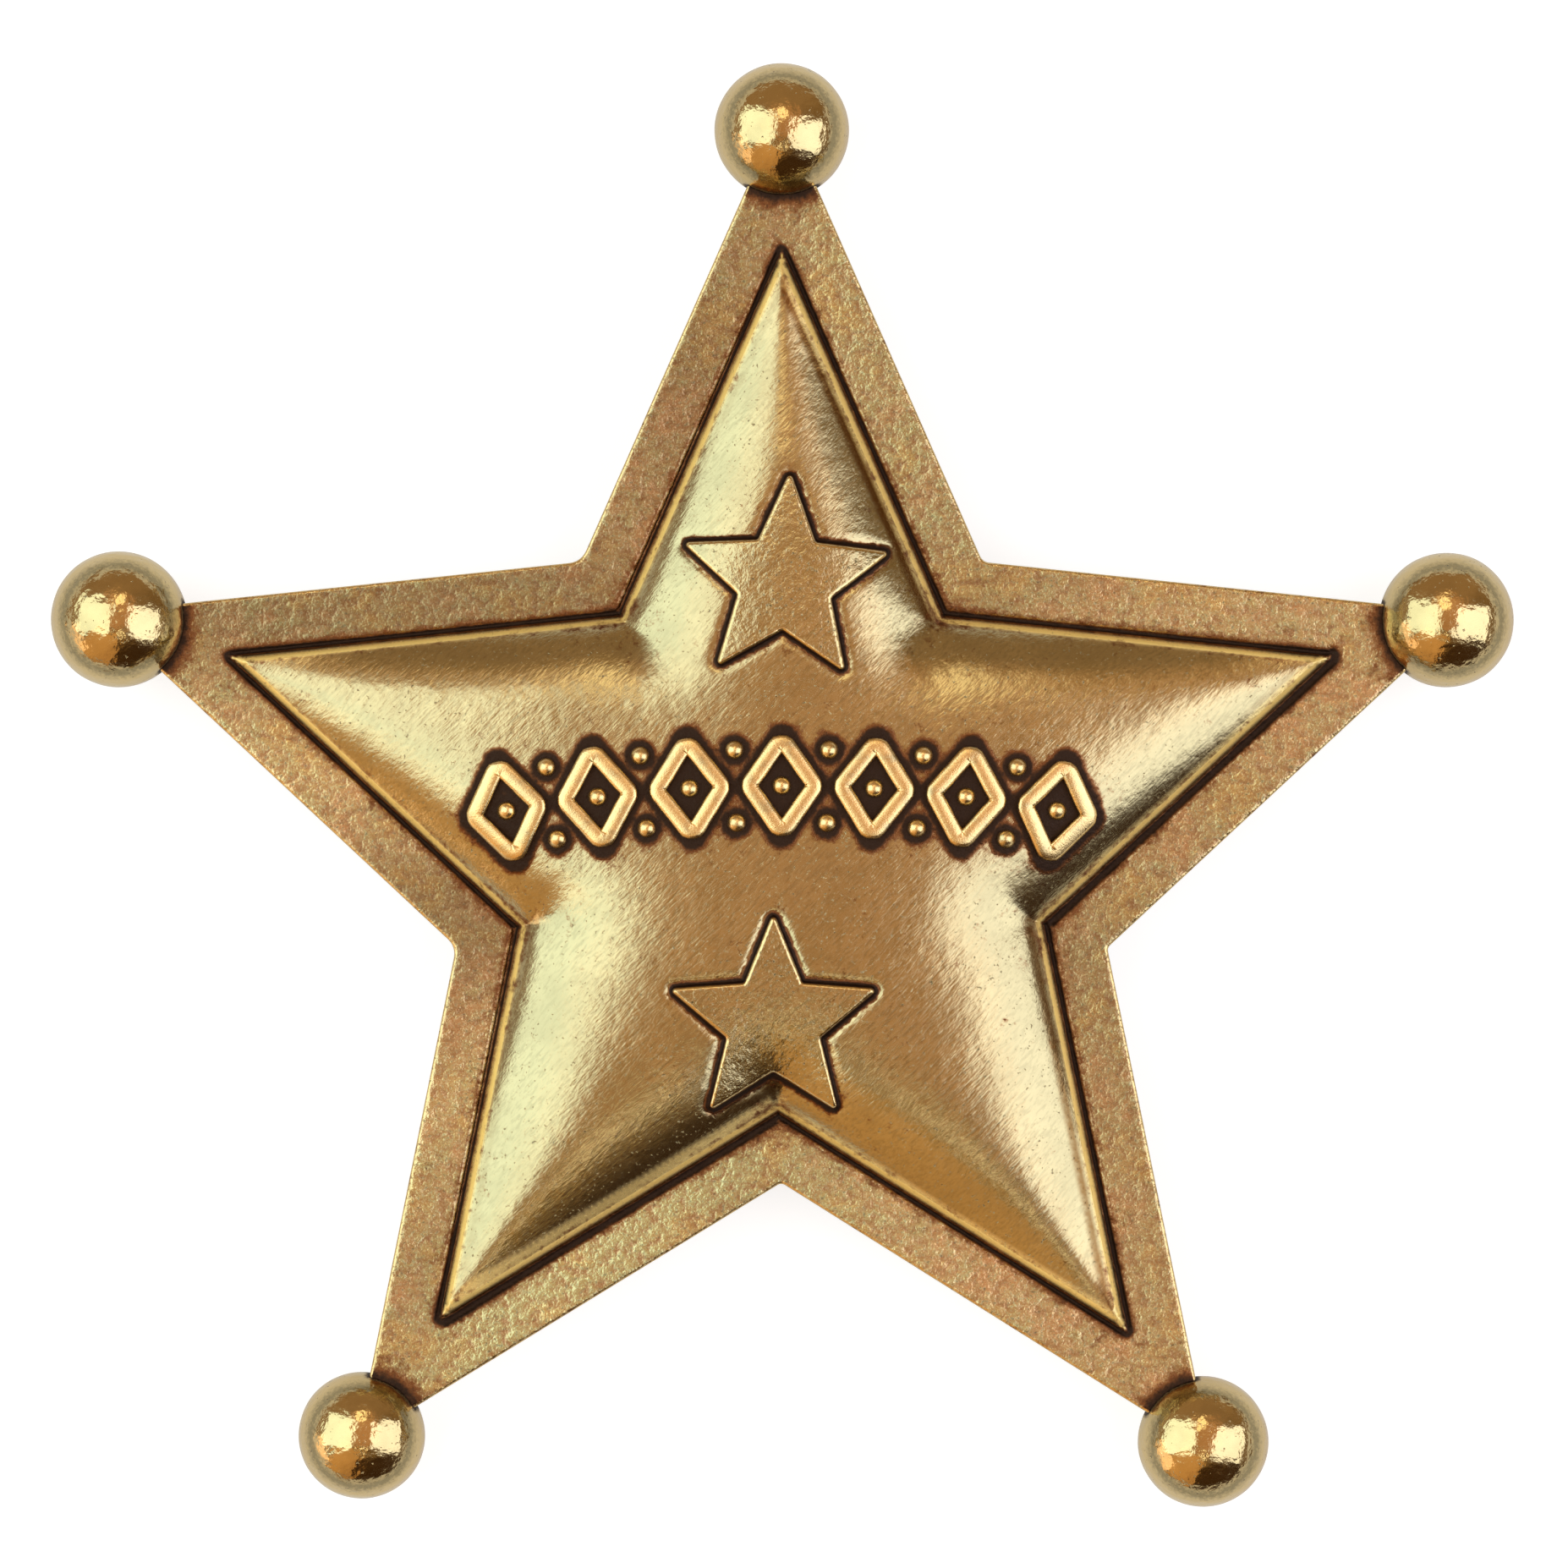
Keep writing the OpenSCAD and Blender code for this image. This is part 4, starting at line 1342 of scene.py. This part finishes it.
def dim_room(stage):
    """A dim warm room, pale to the camera, with its walls, which lean a little, and its ceiling."""
    world = bpy.data.worlds.new("dim_room")
    world.use_nodes = True
    room = Tree(world.node_tree)
    way = room.parts(room.put("ShaderNodeTexCoord")["Generated"])
    walls = stage.room_side
    for tint, lean, low, high in WALLS:
        share = room.step(room.plus(way["Y"], way["X"], lean), low, high, "LINEAR")
        walls = room.blend(share, walls, getattr(stage, tint))
    over = room.step(room.plus(way["Z"], way["Y"], 0.22), 0.80, 0.95)
    dim = room.put("ShaderNodeBackground", {"Color": room.blend(over, walls, stage.ceiling)})[0]
    pale = room.put("ShaderNodeBackground", {"Color": (*stage.background, 1)})[0]
    seen = room.put("ShaderNodeLightPath")["Is Camera Ray"]
    mixed = room.put("ShaderNodeMixShader", {0: seen, 1: dim, 2: pale})[0]
    room.put("ShaderNodeOutputWorld", {"Surface": mixed})
    room.arrange()
    return world


class BADGE_OT_stage(bpy.types.Operator):
    """Makes the pale floor, the soft studio light and the camera straight above"""

    bl_idname = "badge.stage"
    bl_label = "Stage"

    def execute(self, context):
        scene = context.scene
        stage = scene.badge_stage
        corners = [(x * FLOOR_REACH, y * FLOOR_REACH, 0) for x, y in ((-1, -1), (1, -1), (1, 1), (-1, 1))]
        floor = new_object("floor", mesh_of("floor", corners, [(0, 1, 2, 3)]))
        floor.data.materials.append(floor_coat(stage))
        for lamp in LAMPS:
            softbox(*lamp)
        scene.world = dim_room(stage)
        camera = new_object("camera", bpy.data.cameras.new("camera"))
        camera.data.lens = stage.lens
        camera.data.clip_start, camera.data.clip_end = CAMERA_CLIP
        distance = stage.view_w * stage.lens / camera.data.sensor_width
        camera.location = (stage.view_x, stage.view_y, scene.badge_star.ball_d / 2 + distance)
        scene.camera = camera
        scene.view_settings.view_transform = "Standard"
        return {"FINISHED"}


class BADGE_PT_sidebar(bpy.types.Panel):
    """The badge's pieces and sizes, in the sidebar"""

    bl_idname = "BADGE_PT_sidebar"
    bl_label = "Star Badge"
    bl_space_type = "VIEW_3D"
    bl_region_type = "UI"
    bl_category = "Star Badge"

    def draw(self, context):
        for step in STEPS:
            self.layout.operator(step.bl_idname)
        for name in SETTINGS:
            group = getattr(context.scene, name)
            box = self.layout.box()
            box.label(text=group.bl_rna.description)
            for key in group.__annotations__:
                box.prop(group, key)


# The operators in the order in which they run, and the settings that they read
STEPS = (BADGE_OT_casting, BADGE_OT_balls, BADGE_OT_row, BADGE_OT_pin, BADGE_OT_stage)
SETTINGS = {
    "badge_star": StarSizes,
    "badge_row": RowSizes,
    "badge_pin": PinSizes,
    "badge_finish": Finish,
    "badge_stage": Stage,
}


def register():
    """Registers the settings, the operators and the panel."""
    for cls in (*SETTINGS.values(), *STEPS, BADGE_PT_sidebar):
        bpy.utils.register_class(cls)
    for name, cls in SETTINGS.items():
        setattr(bpy.types.Scene, name, PointerProperty(type=cls))


def unregister():
    """Takes them off again."""
    for name in SETTINGS:
        delattr(bpy.types.Scene, name)
    for cls in reversed((*SETTINGS.values(), *STEPS, BADGE_PT_sidebar)):
        bpy.utils.unregister_class(cls)


def main():
    """Builds the badge and its stage."""
    register()
    bpy.ops.badge.casting()
    bpy.ops.badge.balls()
    bpy.ops.badge.row()
    bpy.ops.badge.pin()
    bpy.ops.badge.stage()


if __name__ == "__main__":
    main()
